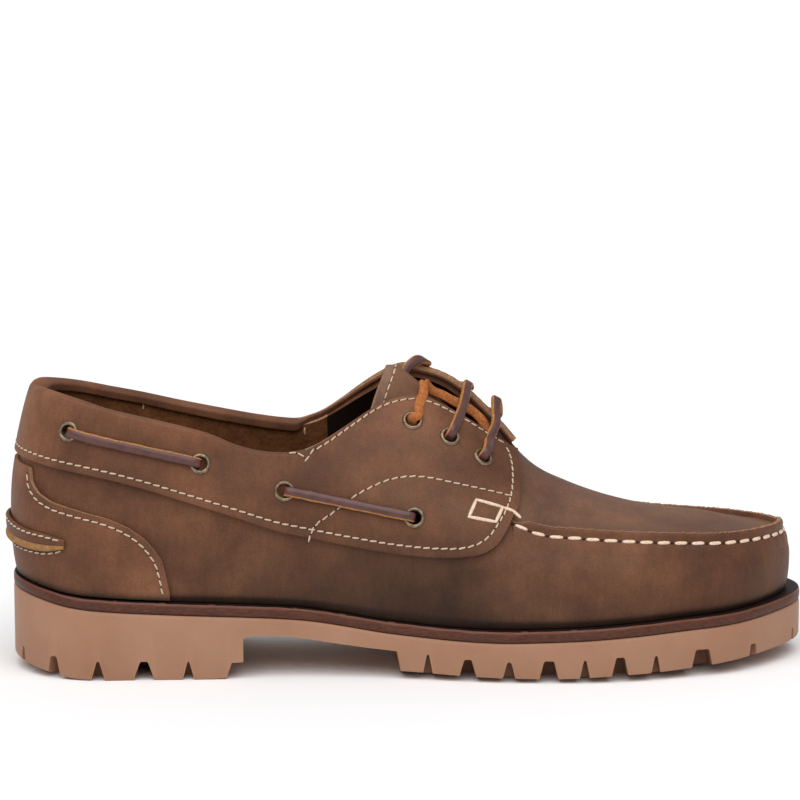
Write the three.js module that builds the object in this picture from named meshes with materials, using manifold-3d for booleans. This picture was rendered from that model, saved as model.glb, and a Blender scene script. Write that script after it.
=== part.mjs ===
// Boat shoe for the right foot: a moccasin upper on a welted rubber lug sole.
// Millimetres. +X runs to the toe, +Y to the inner side of the foot, +Z up.
// The origin is on the floor under the middle of the heel.
import * as THREE from "three";
import { mergeVertices } from "three/addons/utils/BufferGeometryUtils.js";
import Module from "manifold-3d";

const wasm = await Module();
wasm.setup();

// Driving sizes
const ORIGIN_FROM_HEEL_BACK = 40;
const LEATHER_WALL = 2.4;
const OVERLAY = 1.5;
const GAP = 0.3;
const WELT_THICKNESS = 4.2;
const INSOLE_THICKNESS = 3;
const TONGUE_THICKNESS = 2;
const LACE_WIDTH = 3.7;
const LACE_THICKNESS = 1.7;
const EYELET_OUTER = 7.5;
const EYELET_HOLE = 4.3;
const EYELET_HEIGHT = 0.8;
const COLLAR_FOLD = 3.2;
const RIDGE_THICKNESS = 2.4;
const RIDGE_HEIGHT = { outer: 3.2, inner: 2.4 };
const RIDGE_FALL = 0.3;
const SEAM_RISE = 1.94;

// The plan is a ring of sections round a spine: a fan at the heel, straight sides, a fan at the toe.
// A station is the distance round the ring, and each side runs from the heel back to the toe tip.
const HEEL_AXIS = 36;
const TOE_AXIS = 256;
const HEEL_FAN = 56;
const TOE_FAN = 70;
const HALF_RING = HEEL_FAN + TOE_AXIS - HEEL_AXIS + TOE_FAN;
const RING = 2 * HALF_RING;
const TOE_START = HALF_RING - TOE_FAN;
const SPINE_START = 152;

// Each section starts at the feather line on the welt, swells to the bulge, leans in to the
// shoulder and closes at the top. Distances are from the centre line, angles are from upright.
const SECTION_COLUMNS = ["station", "edge", "feather", "bulge", "bulgeZ", "shoulder", "shoulderZ",
  "lean", "crown", "top", "topZ", "apex"];
const OUTER_SIDE = [
  [0, 36.0, 32.8, 34.9, 58, 31.6, 86, 11, 13, 23.5, 112, 26], // heel back
  [28, 37.3, 33.6, 35.5, 57, 31.8, 86, 11, 13, 25.0, 112, 26], // heel corner
  [56, 36.4, 32.8, 34.8, 55, 31.5, 85, 11, 13, 26.0, 112, 26], // heel side
  [95, 37.0, 33.0, 35.4, 51, 31.6, 80, 14, 17, 25.0, 106, 28], // quarter
  [132, 37.0, 33.6, 36.2, 48, 31.2, 77, 20, 26, 18.0, 106, 45], // waist
  [152, 39.6, 36.2, 38.2, 45, 31.0, 77, 27, 33, -3.0, 110, 62], // throat
  [170, 43.0, 39.6, 41.6, 42, 31.5, 76, 31, 36, -6.0, 109, 80], // first eyelet
  [186, 47.2, 43.6, 45.6, 39, 34.0, 70, 34, 39, -6.0, 103.5, 75], // third eyelet
  [202, 50.5, 46.6, 48.6, 37, 37.5, 61, 38, 46, -4.0, 89, 68], // front of the stay
  [214, 51.8, 47.8, 49.7, 36, 39.6, 55.6, 40, 58, 0, 75.6, 88], // vamp
  [230, 53.0, 49.0, 50.4, 35, 41.2, 53.8, 40, 67, 0, 66.0, 90], // ball
  [250, 51.6, 47.6, 49.2, 34.5, 41.0, 52.2, 40, 76, 0, 58.8, 90], // joint
  [276, 45.0, 41.0, 42.8, 35, 36.8, 50.4, 38, 82, 0, 54.2, 90], // toe side
  [311, 39.8, 36.0, 37.8, 36, 33.4, 49.4, 36, 86, 0, 54.2, 90], // toe corner
  [346, 43.9, 38.4, 39.7, 38, 35.4, 48.4, 35, 88, 0, 54.2, 90], // toe tip
];
const INNER_SIDE = [
  [28, 35.4, 31.8, 33.8, 58, 30.6, 86, 10, 13, 24.5, 112, 26], // heel corner
  [56, 34.7, 31.2, 33.2, 57, 30.2, 85, 10, 13, 25.5, 112, 26], // heel side
  [95, 33.7, 30.0, 33.2, 55, 30.2, 81, 12, 15, 25.0, 106, 28], // quarter
  [132, 29.4, 26.2, 32.0, 52, 29.8, 78, 15, 20, 20.0, 106, 45], // waist
  [152, 31.2, 27.8, 33.0, 50, 29.4, 80, 19, 24, 3.0, 110, 66], // throat
  [170, 35.0, 31.4, 35.4, 47, 29.4, 81, 22, 25, 6.0, 109, 82], // first eyelet
  [186, 41.0, 37.0, 39.8, 43, 31.0, 75, 27, 28, 6.0, 103.5, 85], // third eyelet
  [202, 45.6, 41.6, 43.8, 39, 34.4, 66, 33, 36, 4.0, 89, 85], // front of the stay
  [214, 48.4, 44.2, 46.2, 37, 37.2, 57.5, 38, 52, 0, 75.6, 88], // vamp
  [230, 51.0, 46.8, 48.6, 35.5, 39.6, 53.0, 40, 66, 0, 66.0, 90], // ball
  [250, 51.2, 47.0, 48.6, 34.8, 40.4, 50.0, 40, 75, 0, 58.8, 90], // joint
  [276, 46.2, 42.0, 43.6, 34.6, 37.4, 47.4, 38, 80, 0, 54.2, 90], // toe side
  [311, 41.6, 37.6, 39.2, 35, 34.2, 47.4, 36, 84, 0, 54.2, 90], // toe corner
];

// Heights along the shoe, each row a distance from the heel back and a height.
const WELT_TOP = [[0, 35.8], [8, 34.4], [20, 31.9], [36, 30.2], [57, 28.9], [82, 27.8], [98, 26.9],
  [111, 25.8], [124, 23.9], [137, 21.9], [150, 20.6], [176, 19.3], [207, 20.1], [236, 21.6],
  [266, 23.0], [300, 25.2]];
const TREAD_EDGE = [[0, 4.7], [12, 2.4], [22, 0.6], [34, 0], [72, 0], [140, 3.2], [150, 2.8],
  [166, 2.1], [186, 1.6], [204, 1.6], [221, 2.3], [250, 3.4], [275, 5.3], [300, 6.6]];
const TREAD_MIDDLE = [[0, 4.0], [12, 1.6], [20, 0], [230, 0], [250, 0.8], [275, 3.2], [300, 6.0]];
const BELOW_FLOOR = -5;
const SHANK = [[77.2, BELOW_FLOOR], [81.2, 6.2], [85.5, 6.4], [85.5, 15.2], [88, 16.4], [104, 15.7],
  [117, 13.6], [130, 11.9], [142.2, 10.7], [143.9, 2], [145, BELOW_FLOOR]];

// Lines on the upper, each row a station and a height.
const COLLAR_OUTER = [[0, 105.6], [21, 106.6], [45, 103.8], [62, 99.4], [78.6, 95.4], [95.5, 90.5],
  [104, 86.8], [115.6, 84.2], [124, 84], [129.6, 85], [135, 87.1], [141, 90.1], [147, 93],
  [152.6, 95.7], [158.6, 98.3], [165, 100.1], [171, 100.4], [177, 98.8], [186, 94.1], [197, 86.6],
  [203, 82.5], [207.3, 79.7], [209.6, 78.5]];
const COLLAR_INNER = [[0, 105.6], [12, 106.6], [30, 105], [41, 103.4], [52, 101.4], [68, 98.3],
  [83, 94.9], [99, 91.6], [114, 88.8], [122, 87.7], [129.5, 87.4], [137, 89.6], [145, 94.8],
  [152, 100.2], [160, 105.6], [166.5, 109], [172, 109.8], [178, 108.7], [184, 106.4], [190, 102.4],
  [197, 97], [202, 92.6], [207, 86.6], [209.6, 82.2]];
const BAND_FOOT = [[0, 82], [30, 79.4], [51, 76.3], [67, 72.3], [84, 67], [104, 60.6], [118, 55.9],
  [131.5, 53], [146, 50.1], [163, 47.5], [178, 46.5], [187, 46.8], [194.5, 48.4], [199.5, 51.6],
  [202.4, 55.2], [204.8, 59.3], [207.4, 63.6], [208.8, 70], [209.6, 75.5]];
const COUNTER_TOP = [[0, 78.6], [22, 77.6], [24, 72.6], [28, 69], [34, 66.4], [44, 64], [56, 60.9],
  [64, 57.2], [69.7, 53], [73.2, 48.9], [75.8, 45], [77.4, 39], [78.6, 32.6]];

const COLORS = {
  leather: 0x76523b,
  sole: 0xb98b68,
  welt: 0x4a2a1e,
  lining: 0x8a5a36,
  eyelet: 0x6f6250,
  lace: 0x5c3327,
};

// A smooth curve through rows of x and y, with slopes from the neighbouring rows.
function smooth(rows, period = 0) {
  let points = rows;
  if (period) {
    const before = rows.slice(-3).map(([x, y]) => [x - period, y]);
    const after = rows.slice(0, 3).map(([x, y]) => [x + period, y]);
    points = [...before, ...rows, ...after];
  }
  const last = points.length - 1;
  const rise = (i) => (points[i + 1][1] - points[i][1]) / (points[i + 1][0] - points[i][0]);
  const slope = points.map((point, i) => {
    if (i === 0) return rise(0);
    if (i === last) return rise(last - 1);
    const back = point[0] - points[i - 1][0];
    const ahead = points[i + 1][0] - point[0];
    return (rise(i - 1) * ahead + rise(i) * back) / (back + ahead);
  });
  return (x) => {
    let i = 0;
    while (i < last - 1 && x > points[i + 1][0]) i += 1;
    const span = points[i + 1][0] - points[i][0];
    const t = THREE.MathUtils.clamp((x - points[i][0]) / span, 0, 1);
    return hermite(points[i][1], slope[i] * span, points[i + 1][1], slope[i + 1] * span, t);
  };
}

function hermite(from, leave, to, arrive, t) {
  const tt = t * t;
  const ttt = tt * t;
  return (2 * ttt - 3 * tt + 1) * from + (ttt - 2 * tt + t) * leave
    + (3 * tt - 2 * ttt) * to + (ttt - tt) * arrive;
}

// Straight lines through rows of x and y, for heights that turn sharply.
function straight(rows) {
  return (x) => {
    let i = 0;
    while (i < rows.length - 2 && x > rows[i + 1][0]) i += 1;
    const t = THREE.MathUtils.clamp((x - rows[i][0]) / (rows[i + 1][0] - rows[i][0]), 0, 1);
    return rows[i][1] + t * (rows[i + 1][1] - rows[i][1]);
  };
}

// The two sides make one round table, and each column becomes a smooth periodic curve.
const mirrored = [...INNER_SIDE].reverse().map(([station, ...rest]) => [RING - station, ...rest]);
const allSections = [...OUTER_SIDE, ...mirrored];
const section = {};
SECTION_COLUMNS.slice(1).forEach((name, k) => {
  section[name] = smooth(allSections.map((row) => [row[0], row[k + 1]]), RING);
});

const weltTop = smooth(WELT_TOP);
const treadEdge = smooth(TREAD_EDGE);
const treadMiddle = straight(TREAD_MIDDLE);
const bandFoot = smooth(BAND_FOOT);
const counterTop = straight(COUNTER_TOP);
const collarOuter = smooth(COLLAR_OUTER);
const collarInner = smooth(COLLAR_INNER);

const wrap = (s) => ((s % RING) + RING) % RING;
const isInner = (s) => wrap(s) > HALF_RING;
const along = (s) => (isInner(s) ? RING - wrap(s) : wrap(s));
const onSide = (a, inner) => (inner ? RING - a : a);

// The spine point of a station and its direction in plan.
function spine(s) {
  const a = along(s);
  const x = THREE.MathUtils.clamp(HEEL_AXIS + a - HEEL_FAN, HEEL_AXIS, TOE_AXIS);
  let turn = Math.PI / 2;
  if (a < HEEL_FAN) turn = Math.PI - (a / HEEL_FAN) * (Math.PI / 2);
  if (a > TOE_START) turn = ((HALF_RING - a) / TOE_FAN) * (Math.PI / 2);
  return { x, dx: Math.cos(turn), dy: (isInner(s) ? 1 : -1) * Math.sin(turn) };
}

function planPoint(s, out, z) {
  const { x, dx, dy } = spine(s);
  return new THREE.Vector3(x + dx * out, dy * out, z);
}

// The outer face of the upper: rise 0 is the feather line, 1 the bulge, 2 the shoulder, 3 the top.
function facePoint(station, rise) {
  const s = rise > 2.999 && along(station) >= SPINE_START ? along(station) : station;
  const at = wrap(s);
  const g = {};
  Object.keys(section).forEach((name) => { g[name] = section[name](at); });
  if (along(s) > TOE_START) g.topZ = section.topZ(TOE_START);
  const foot = weltTop(planPoint(s, g.feather, 0).x) + GAP;
  const lean = THREE.MathUtils.degToRad(g.lean);
  const crown = THREE.MathUtils.degToRad(g.crown);
  const apex = THREE.MathUtils.degToRad(g.apex);
  const low = g.bulgeZ - foot;
  const high = g.shoulderZ - g.bulgeZ;
  const cap = 1.1 * Math.hypot(g.shoulder - g.top, g.topZ - g.shoulderZ);
  let out;
  let z;
  if (rise <= 1) {
    out = hermite(g.feather, 2.2 * (g.bulge - g.feather), g.bulge, 0, rise);
    z = hermite(foot, 0.7 * low, g.bulgeZ, 1.2 * low, rise);
  } else if (rise <= 2) {
    out = hermite(g.bulge, 0, g.shoulder, -1.3 * high * Math.sin(lean), rise - 1);
    z = hermite(g.bulgeZ, 1.2 * high, g.shoulderZ, 1.1 * high * Math.cos(lean), rise - 1);
  } else {
    out = hermite(g.shoulder, -cap * Math.sin(crown), g.top, -cap * Math.sin(apex), rise - 2);
    z = hermite(g.shoulderZ, cap * Math.cos(crown), g.topZ, cap * Math.cos(apex), rise - 2);
  }
  return planPoint(s, out, z);
}

function faceNormal(s, rise) {
  if (rise > 2.999) {
    const x = spine(s).x;
    const near = facePoint(HEEL_FAN + Math.max(x - 1, HEEL_AXIS) - HEEL_AXIS, 3);
    const far = facePoint(HEEL_FAN + Math.min(x + 1, TOE_AXIS) - HEEL_AXIS, 3);
    const run = far.sub(near);
    return new THREE.Vector3(-run.z, 0, run.x).normalize();
  }
  const round = facePoint(s + 0.5, rise).sub(facePoint(s - 0.5, rise));
  const up = facePoint(s, Math.min(rise + 0.02, 3)).sub(facePoint(s, Math.max(rise - 0.02, 0)));
  return round.cross(up).normalize();
}

function offsetPoint(s, rise, offset) {
  return facePoint(s, rise).addScaledVector(faceNormal(s, rise), offset);
}

function riseAtHeight(s, z) {
  let low = 0;
  let high = 3;
  for (let step = 0; step < 30; step += 1) {
    const middle = (low + high) / 2;
    if (facePoint(s, middle).z < z) low = middle;
    else high = middle;
  }
  return (low + high) / 2;
}

// Moves a rise up or down the face by a length.
function riseBy(s, rise, length) {
  const step = 0.02;
  const from = THREE.MathUtils.clamp(rise - step, 0, 3 - 2 * step);
  const speed = facePoint(s, from + 2 * step).distanceTo(facePoint(s, from)) / (2 * step);
  return THREE.MathUtils.clamp(rise + length / speed, 0, 3);
}

// The upper's own top edge lies under the folded collar of the band.
const THROAT_FRONT = 210.2;
const THROAT_CLOSED = 211.6;
const EDGE_UNDER_FOLD = OVERLAY + 0.8;
const collarLine = (s) => (isInner(s) ? collarInner : collarOuter)(along(s));

function edgeRise(s) {
  if (along(s) > THROAT_CLOSED - 0.01) return 3;
  return riseBy(s, riseAtHeight(s, collarLine(s)), -EDGE_UNDER_FOLD);
}

// Gathers faces with shared corners into one closed mesh.
class Shell {
  constructor() {
    this.corners = [];
    this.known = new Map();
    this.faces = [];
  }

  corner(p) {
    const key = [p.x, p.y, p.z].map((value) => Math.round(value * 500)).join(",");
    if (!this.known.has(key)) {
      this.known.set(key, this.corners.length);
      this.corners.push([p.x, p.y, p.z]);
    }
    return this.known.get(key);
  }

  triangle(p, q, r) {
    const ids = [this.corner(p), this.corner(q), this.corner(r)];
    if (new Set(ids).size === 3) this.faces.push(ids);
  }

  quad(p, q, r, t) {
    this.triangle(p, q, r);
    this.triangle(p, r, t);
  }

  // Joins two rows of points, and the last point to the first where the rows are closed.
  band(row, next, closed = false) {
    const count = closed ? row.length : row.length - 1;
    for (let i = 0; i < count; i += 1) {
      const j = (i + 1) % row.length;
      this.quad(row[i], row[j], next[j], next[i]);
    }
  }

  // Closes a loop of the ring across the spine, seen from above or from below.
  lid(loop, facingUp) {
    const half = loop.length / 2;
    for (let i = 0; i < half; i += 1) {
      const outer = [loop[i], loop[i + 1]];
      const inner = [loop[(loop.length - i) % loop.length], loop[loop.length - i - 1]];
      if (facingUp) this.quad(outer[0], outer[1], inner[1], inner[0]);
      else this.quad(outer[0], inner[0], inner[1], outer[1]);
    }
  }

  // Six times the enclosed volume, which is negative where the faces point inwards.
  turned() {
    const [p, q, r] = [new THREE.Vector3(), new THREE.Vector3(), new THREE.Vector3()];
    return this.faces.reduce((sum, [i, j, k]) => {
      p.fromArray(this.corners[i]);
      q.fromArray(this.corners[j]);
      r.fromArray(this.corners[k]);
      return sum + p.dot(q.cross(r));
    }, 0);
  }

  geometry() {
    if (this.turned() < 0) this.faces.forEach((face) => face.reverse());
    const geometry = new THREE.BufferGeometry();
    geometry.setAttribute("position", new THREE.Float32BufferAttribute(this.corners.flat(), 3));
    geometry.setIndex(this.faces.flat());
    geometry.computeVertexNormals();
    return geometry;
  }
}

// A solid swept through sections of equal point counts, with flat ends or as a closed loop.
function sweep(sections, looped = false) {
  const shell = new Shell();
  const count = looped ? sections.length : sections.length - 1;
  for (let i = 0; i < count; i += 1) {
    const next = sections[(i + 1) % sections.length];
    shell.band(sections[i], next, true);
  }
  if (!looped) {
    endCap(shell, sections[0], true);
    endCap(shell, sections[sections.length - 1], false);
  }
  return shell.geometry();
}

// Fills a flat end of a sweep by pairing its two long sides.
function endCap(shell, loop, first) {
  let i = 0;
  let j = loop.length - 1;
  while (j - i > 1) {
    const corners = [loop[i], loop[j], loop[i + 1]];
    if (j - i > 2) corners.splice(2, 0, loop[j - 1]);
    if (!first) corners.reverse();
    if (corners.length === 4) shell.quad(...corners);
    else shell.triangle(...corners);
    i += 1;
    j -= 1;
  }
}

// Stations round one side, closer together where the plan turns.
const HEEL_STEPS = 7;
const TOE_STEPS = 8;
const SADDLE_STEP = 8;
const SADDLE_FRONT = 200;
const VAMP_STATIONS = [218, 226, 235, 245, 255.5, 266];
function sideStations() {
  const list = [];
  for (let k = 0; k < HEEL_STEPS; k += 1) list.push((HEEL_FAN * k) / HEEL_STEPS);
  for (let a = HEEL_FAN; a < SADDLE_FRONT; a += SADDLE_STEP) list.push(a);
  list.push(204, 207.6, THROAT_FRONT, THROAT_CLOSED, ...VAMP_STATIONS);
  for (let k = 0; k <= TOE_STEPS; k += 1) list.push(TOE_START + (TOE_FAN * k) / TOE_STEPS);
  return list;
}
const SIDE = sideStations();
const AROUND = [...SIDE, ...[...SIDE].slice(1, -1).reverse().map((a) => RING - a)];

function mesh(name, geometry, color, roughness = 0.7, metalness = 0) {
  const material = new THREE.MeshStandardMaterial({ color, roughness, metalness });
  const made = new THREE.Mesh(geometry, material);
  made.name = name;
  made.position.x = -ORIGIN_FROM_HEEL_BACK;
  return made;
}

// Solids to cut with
function toManifold(geometry) {
  const bare = geometry.clone();
  bare.deleteAttribute("normal");
  bare.deleteAttribute("uv");
  const merged = mergeVertices(bare, 1e-4);
  return new wasm.Manifold(new wasm.Mesh({
    numProp: 3,
    vertProperties: new Float32Array(merged.attributes.position.array),
    triVerts: new Uint32Array(merged.index.array),
  }));
}

function fromManifold(manifold) {
  const result = manifold.getMesh();
  const geometry = new THREE.BufferGeometry();
  geometry.setAttribute("position", new THREE.BufferAttribute(result.vertProperties, 3));
  geometry.setIndex(new THREE.BufferAttribute(result.triVerts, 1));
  return geometry;
}

// A prism of a profile of x and z, centred on y = 0 and run across by a width.
function prism(profile, width) {
  const shape = new THREE.Shape(profile.map(([x, z]) => new THREE.Vector2(x, z)));
  const geometry = new THREE.ExtrudeGeometry(shape, { depth: width, bevelEnabled: false });
  geometry.rotateX(Math.PI / 2);
  geometry.translate(0, width / 2, 0);
  return geometry;
}

// Outsole: a rubber unit with a raised waist, lugs round its edge and blocks down its middle.
const LONG_GAP = 15;
const SHORT_GAP = 8;
const GAP_COLUMNS = ["x", "top", "foot", "head", "length"];
const LUG_GAPS = [
  [3.8, 9.4, 4.2, 1.6, 5],
  [15.4, 8.5, 5.8, 2.8, LONG_GAP],
  [31.8, 7.3, 4.8, 1.3, SHORT_GAP],
  [48.8, 7.1, 7.4, 3.2, LONG_GAP],
  [65.2, 6.9, 4.0, 0.9, SHORT_GAP],
  [153.5, 9.8, 4.4, 1.0, SHORT_GAP],
  [168, 8.5, 7.0, 3.0, LONG_GAP],
  [183, 7.9, 5.2, 1.8, SHORT_GAP],
  [197.6, 8.5, 7.6, 4.0, LONG_GAP],
  [210.8, 8.7, 4.4, 1.2, SHORT_GAP],
  [224, 9.5, 7.2, 3.4, LONG_GAP],
  [237.6, 9.3, 4.6, 1.2, SHORT_GAP],
  [255.6, 10.4, 9.4, 5.4, LONG_GAP],
  [276.4, 9.9, 5.0, 3.0, SHORT_GAP],
  [295, 11.2, 4.2, 1.8, 5],
].map((row) => Object.fromEntries(GAP_COLUMNS.map((name, k) => [name, row[k]])));
const GAP_FOOT_HEIGHT = 1;
const GAP_OVERRUN = 4;
const CHANNEL = { width: 4.4, top: 4.6, length: 50 };
const MIDDLE_CHANNEL = { from: 160, to: 262 };
const TREAD_RIM = 13;
const SOLE_CORNER = 1.2;
const ACROSS_SOLE = 160;

function stationAtEdge(x, inner) {
  let low = 0;
  let high = HALF_RING;
  for (let step = 0; step < 30; step += 1) {
    const middle = (low + high) / 2;
    const s = onSide(middle, inner);
    if (planPoint(s, section.edge(wrap(s)), 0).x < x) low = middle;
    else high = middle;
  }
  return onSide((low + high) / 2, inner);
}

function lugGap({ x, top, foot, head, length }, inner) {
  const s = stationAtEdge(x, inner);
  const { dx, dy } = spine(s);
  const flare = (foot - head) / (top - GAP_FOOT_HEIGHT);
  const low = (foot + flare * (GAP_FOOT_HEIGHT - BELOW_FLOOR)) / 2;
  const profile = [[-low, BELOW_FLOOR], [low, BELOW_FLOOR], [head / 2, top], [-head / 2, top]];
  const reach = length + GAP_OVERRUN;
  const geometry = prism(profile, reach);
  const middle = planPoint(s, section.edge(wrap(s)) - length + reach / 2, 0);
  geometry.rotateZ(Math.atan2(dy, dx) + Math.PI / 2);
  geometry.translate(middle.x, middle.y, 0);
  return toManifold(geometry);
}

function channel(from, to, width) {
  const { top } = CHANNEL;
  const profile = [[from, BELOW_FLOOR], [to, BELOW_FLOOR], [to, top], [from, top]];
  return toManifold(prism(profile, width));
}

function outsole() {
  const loop = (inset, height) => AROUND.map((s) => {
    const p = planPoint(s, section.edge(wrap(s)) - inset, 0);
    return p.setZ(height(p.x));
  });
  const rows = [
    loop(TREAD_RIM, treadMiddle),
    loop(SOLE_CORNER, treadEdge),
    loop(0, (x) => treadEdge(x) + SOLE_CORNER),
    loop(0, (x) => weltTop(x) - WELT_THICKNESS - GAP - SOLE_CORNER),
    loop(0.5, (x) => weltTop(x) - WELT_THICKNESS - GAP),
  ];
  const shell = new Shell();
  rows.slice(1).forEach((row, k) => shell.band(rows[k], row, true));
  shell.lid(rows[0], false);
  shell.lid(rows[rows.length - 1], true);
  let body = toManifold(shell.geometry());
  body = body.subtract(toManifold(prism([...SHANK].reverse(), ACROSS_SOLE)));
  LUG_GAPS.forEach((gap) => {
    body = body.subtract(lugGap(gap, false)).subtract(lugGap(gap, true));
    if (gap.length === LONG_GAP && gap.x > HEEL_AXIS) {
      const half = CHANNEL.width / 2;
      body = body.subtract(channel(gap.x - half, gap.x + half, CHANNEL.length));
    }
  });
  body = body.subtract(channel(MIDDLE_CHANNEL.from, MIDDLE_CHANNEL.to, CHANNEL.width));
  return fromManifold(body);
}

// Welt board: a leather plate between the rubber and the upper, its dark edge flush with the sole.
const WELT_CORNER = 0.8;
function welt() {
  const loop = (inset, drop) => AROUND.map((s) => {
    const p = planPoint(s, section.edge(wrap(s)) - inset, 0);
    return p.setZ(weltTop(p.x) - drop);
  });
  const rows = [
    loop(0.5, WELT_THICKNESS),
    loop(0, WELT_THICKNESS - WELT_CORNER),
    loop(0, WELT_CORNER),
    loop(0.7, 0),
  ];
  const shell = new Shell();
  rows.slice(1).forEach((row, k) => shell.band(rows[k], row, true));
  shell.lid(rows[0], false);
  shell.lid(rows[rows.length - 1], true);
  return shell.geometry();
}

// Insole: a plate inside the upper on the welt board.
const INSOLE_INSET = LEATHER_WALL + 2 * GAP;
const INSOLE_LIFT = 0.4;
function insole() {
  const stations = AROUND.filter((s, k) => k % 2 === 0);
  const loop = (height) => stations.map((s) => {
    const p = planPoint(s, section.feather(wrap(s)) - INSOLE_INSET, 0);
    return p.setZ(weltTop(p.x) + height);
  });
  const shell = new Shell();
  const foot = loop(INSOLE_LIFT);
  const head = loop(INSOLE_LIFT + INSOLE_THICKNESS);
  shell.band(foot, head, true);
  shell.lid(foot, false);
  shell.lid(head, true);
  return shell.geometry();
}

// Upper: one leather wall, open at the collar, at the throat and underneath.
const UPPER_ROWS = 8;
function upper() {
  const shell = new Shell();
  const face = (offset) => AROUND.map((s) => {
    const edge = edgeRise(s);
    const rises = Array.from({ length: UPPER_ROWS + 1 }, (_, k) => (edge * k) / UPPER_ROWS);
    return rises.map((rise) => offsetPoint(s, rise, offset));
  });
  const outer = face(0);
  const inner = face(-LEATHER_WALL);
  AROUND.forEach((s, j) => {
    const next = (j + 1) % AROUND.length;
    shell.band(outer[next], outer[j]);
    shell.band(inner[j], inner[next]);
    shell.quad(outer[j][0], inner[j][0], inner[next][0], outer[next][0]);
    const closed = edgeRise(s) === 3 && edgeRise(AROUND[next]) === 3;
    const top = UPPER_ROWS;
    if (!closed) shell.quad(outer[next][top], inner[next][top], inner[j][top], outer[j][top]);
  });
  return shell.geometry();
}

// Evenly spaced values, for the rows of a panel that lies on the upper.
function spread(from, to, count) {
  return Array.from({ length: count }, (_, k) => from + ((to - from) * k) / (count - 1));
}

// Band: the collar and both saddles in one strip round the heel, its top edge folded over the upper.
const BAND_END = 208.8;
const BAND_ROWS = 6;
const BAND_GAP = 1;
const BAND_LEAST = 5;
const FOLD_ENDS = 150;
const FOLD_RAMP = 14;
const ROLL_START = 0.6;
const ROLL_CORNER = 0.7;
function bandSection(s) {
  const a = along(s);
  const top = riseAtHeight(s, collarLine(s));
  const foot = Math.min(riseAtHeight(s, bandFoot(a)), riseBy(s, top, -BAND_LEAST));
  const under = riseBy(s, top, -OVERLAY);
  const fold = THREE.MathUtils.clamp((FOLD_ENDS - a) / FOLD_RAMP, 0, 1);
  const insideFace = -LEATHER_WALL - GAP;
  const foldFace = insideFace - fold * OVERLAY;
  const foldEnd = riseBy(s, top, -OVERLAY - 0.05 - fold * COLLAR_FOLD);
  const outerRises = spread(foot, riseBy(s, top, -ROLL_START), BAND_ROWS);
  const innerRises = spread(foot, under, BAND_ROWS).reverse();
  return [
    ...outerRises.map((rise) => offsetPoint(s, rise, BAND_GAP + OVERLAY)),
    offsetPoint(s, top, BAND_GAP + OVERLAY - ROLL_CORNER),
    offsetPoint(s, top, foldFace + ROLL_CORNER),
    offsetPoint(s, riseBy(s, top, -ROLL_START), foldFace),
    offsetPoint(s, foldEnd, foldFace),
    offsetPoint(s, foldEnd, insideFace + 0.02),
    offsetPoint(s, under, insideFace + 0.04),
    ...innerRises.map((rise) => offsetPoint(s, rise, BAND_GAP)),
  ];
}

function band() {
  const front = [SADDLE_FRONT, 202, 204, 205.8, 207.6, BAND_END];
  const side = [...SIDE.filter((a) => a < SADDLE_FRONT - 2), ...front];
  const run = [...[...side].slice(1).reverse().map((a) => RING - a), ...side];
  return sweep(run.map(bandSection).map((loop) => loop.reverse()));
}

// Heel counter: a panel round the heel below the band, cut away in a curve at each side.
const COUNTER_END = 78.6;
const COUNTER_FOOT = 0.9;
function counter() {
  const side = [0, 8, 16, 22, 24, 28, 34, 40, 48, 56, 64, 69.7, 73.2, 75.8, 77.4, COUNTER_END];
  const run = [...[...side].slice(1).reverse().map((a) => RING - a), ...side];
  return sweep(run.map((s) => {
    const top = riseAtHeight(s, counterTop(along(s)));
    const rises = spread(riseBy(s, 0, COUNTER_FOOT), top, 5);
    return [
      ...rises.map((rise) => offsetPoint(s, rise, GAP)),
      ...[...rises].reverse().map((rise) => offsetPoint(s, rise, GAP + OVERLAY)),
    ];
  }));
}

// Heel strap: a short folded leather strap across the back of the counter, its ends tapered.
const STRAP_COLUMNS = ["station", "foot", "head", "proud"];
const STRAP_HALF = [
  [0, 48.8, 58.4, 2.9], [8, 48.6, 57.8, 2.9], [16, 48.3, 56.5, 2.8], [24, 48.0, 55.4, 2.6],
  [34, 48.2, 54.4, 2.3], [40, 49.6, 52.8, 1.9],
].map((row) => Object.fromEntries(STRAP_COLUMNS.map((name, k) => [name, row[k]])));
const STRAP_BASE = 2 * GAP + OVERLAY + 0.2;
function heelStrap() {
  const mirror = STRAP_HALF.slice(1).reverse().map((row) => ({ ...row, station: RING - row.station }));
  return sweep([...mirror, ...STRAP_HALF].map(({ station, foot, head, proud }) => {
    const low = riseAtHeight(station, foot);
    const high = riseAtHeight(station, head);
    const middle = (low + high) / 2;
    return [
      offsetPoint(station, low, STRAP_BASE),
      offsetPoint(station, middle, STRAP_BASE),
      offsetPoint(station, high, STRAP_BASE),
      offsetPoint(station, high, STRAP_BASE + proud * 0.6),
      offsetPoint(station, middle, STRAP_BASE + proud),
      offsetPoint(station, low, STRAP_BASE + proud * 0.8),
    ];
  }));
}

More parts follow.
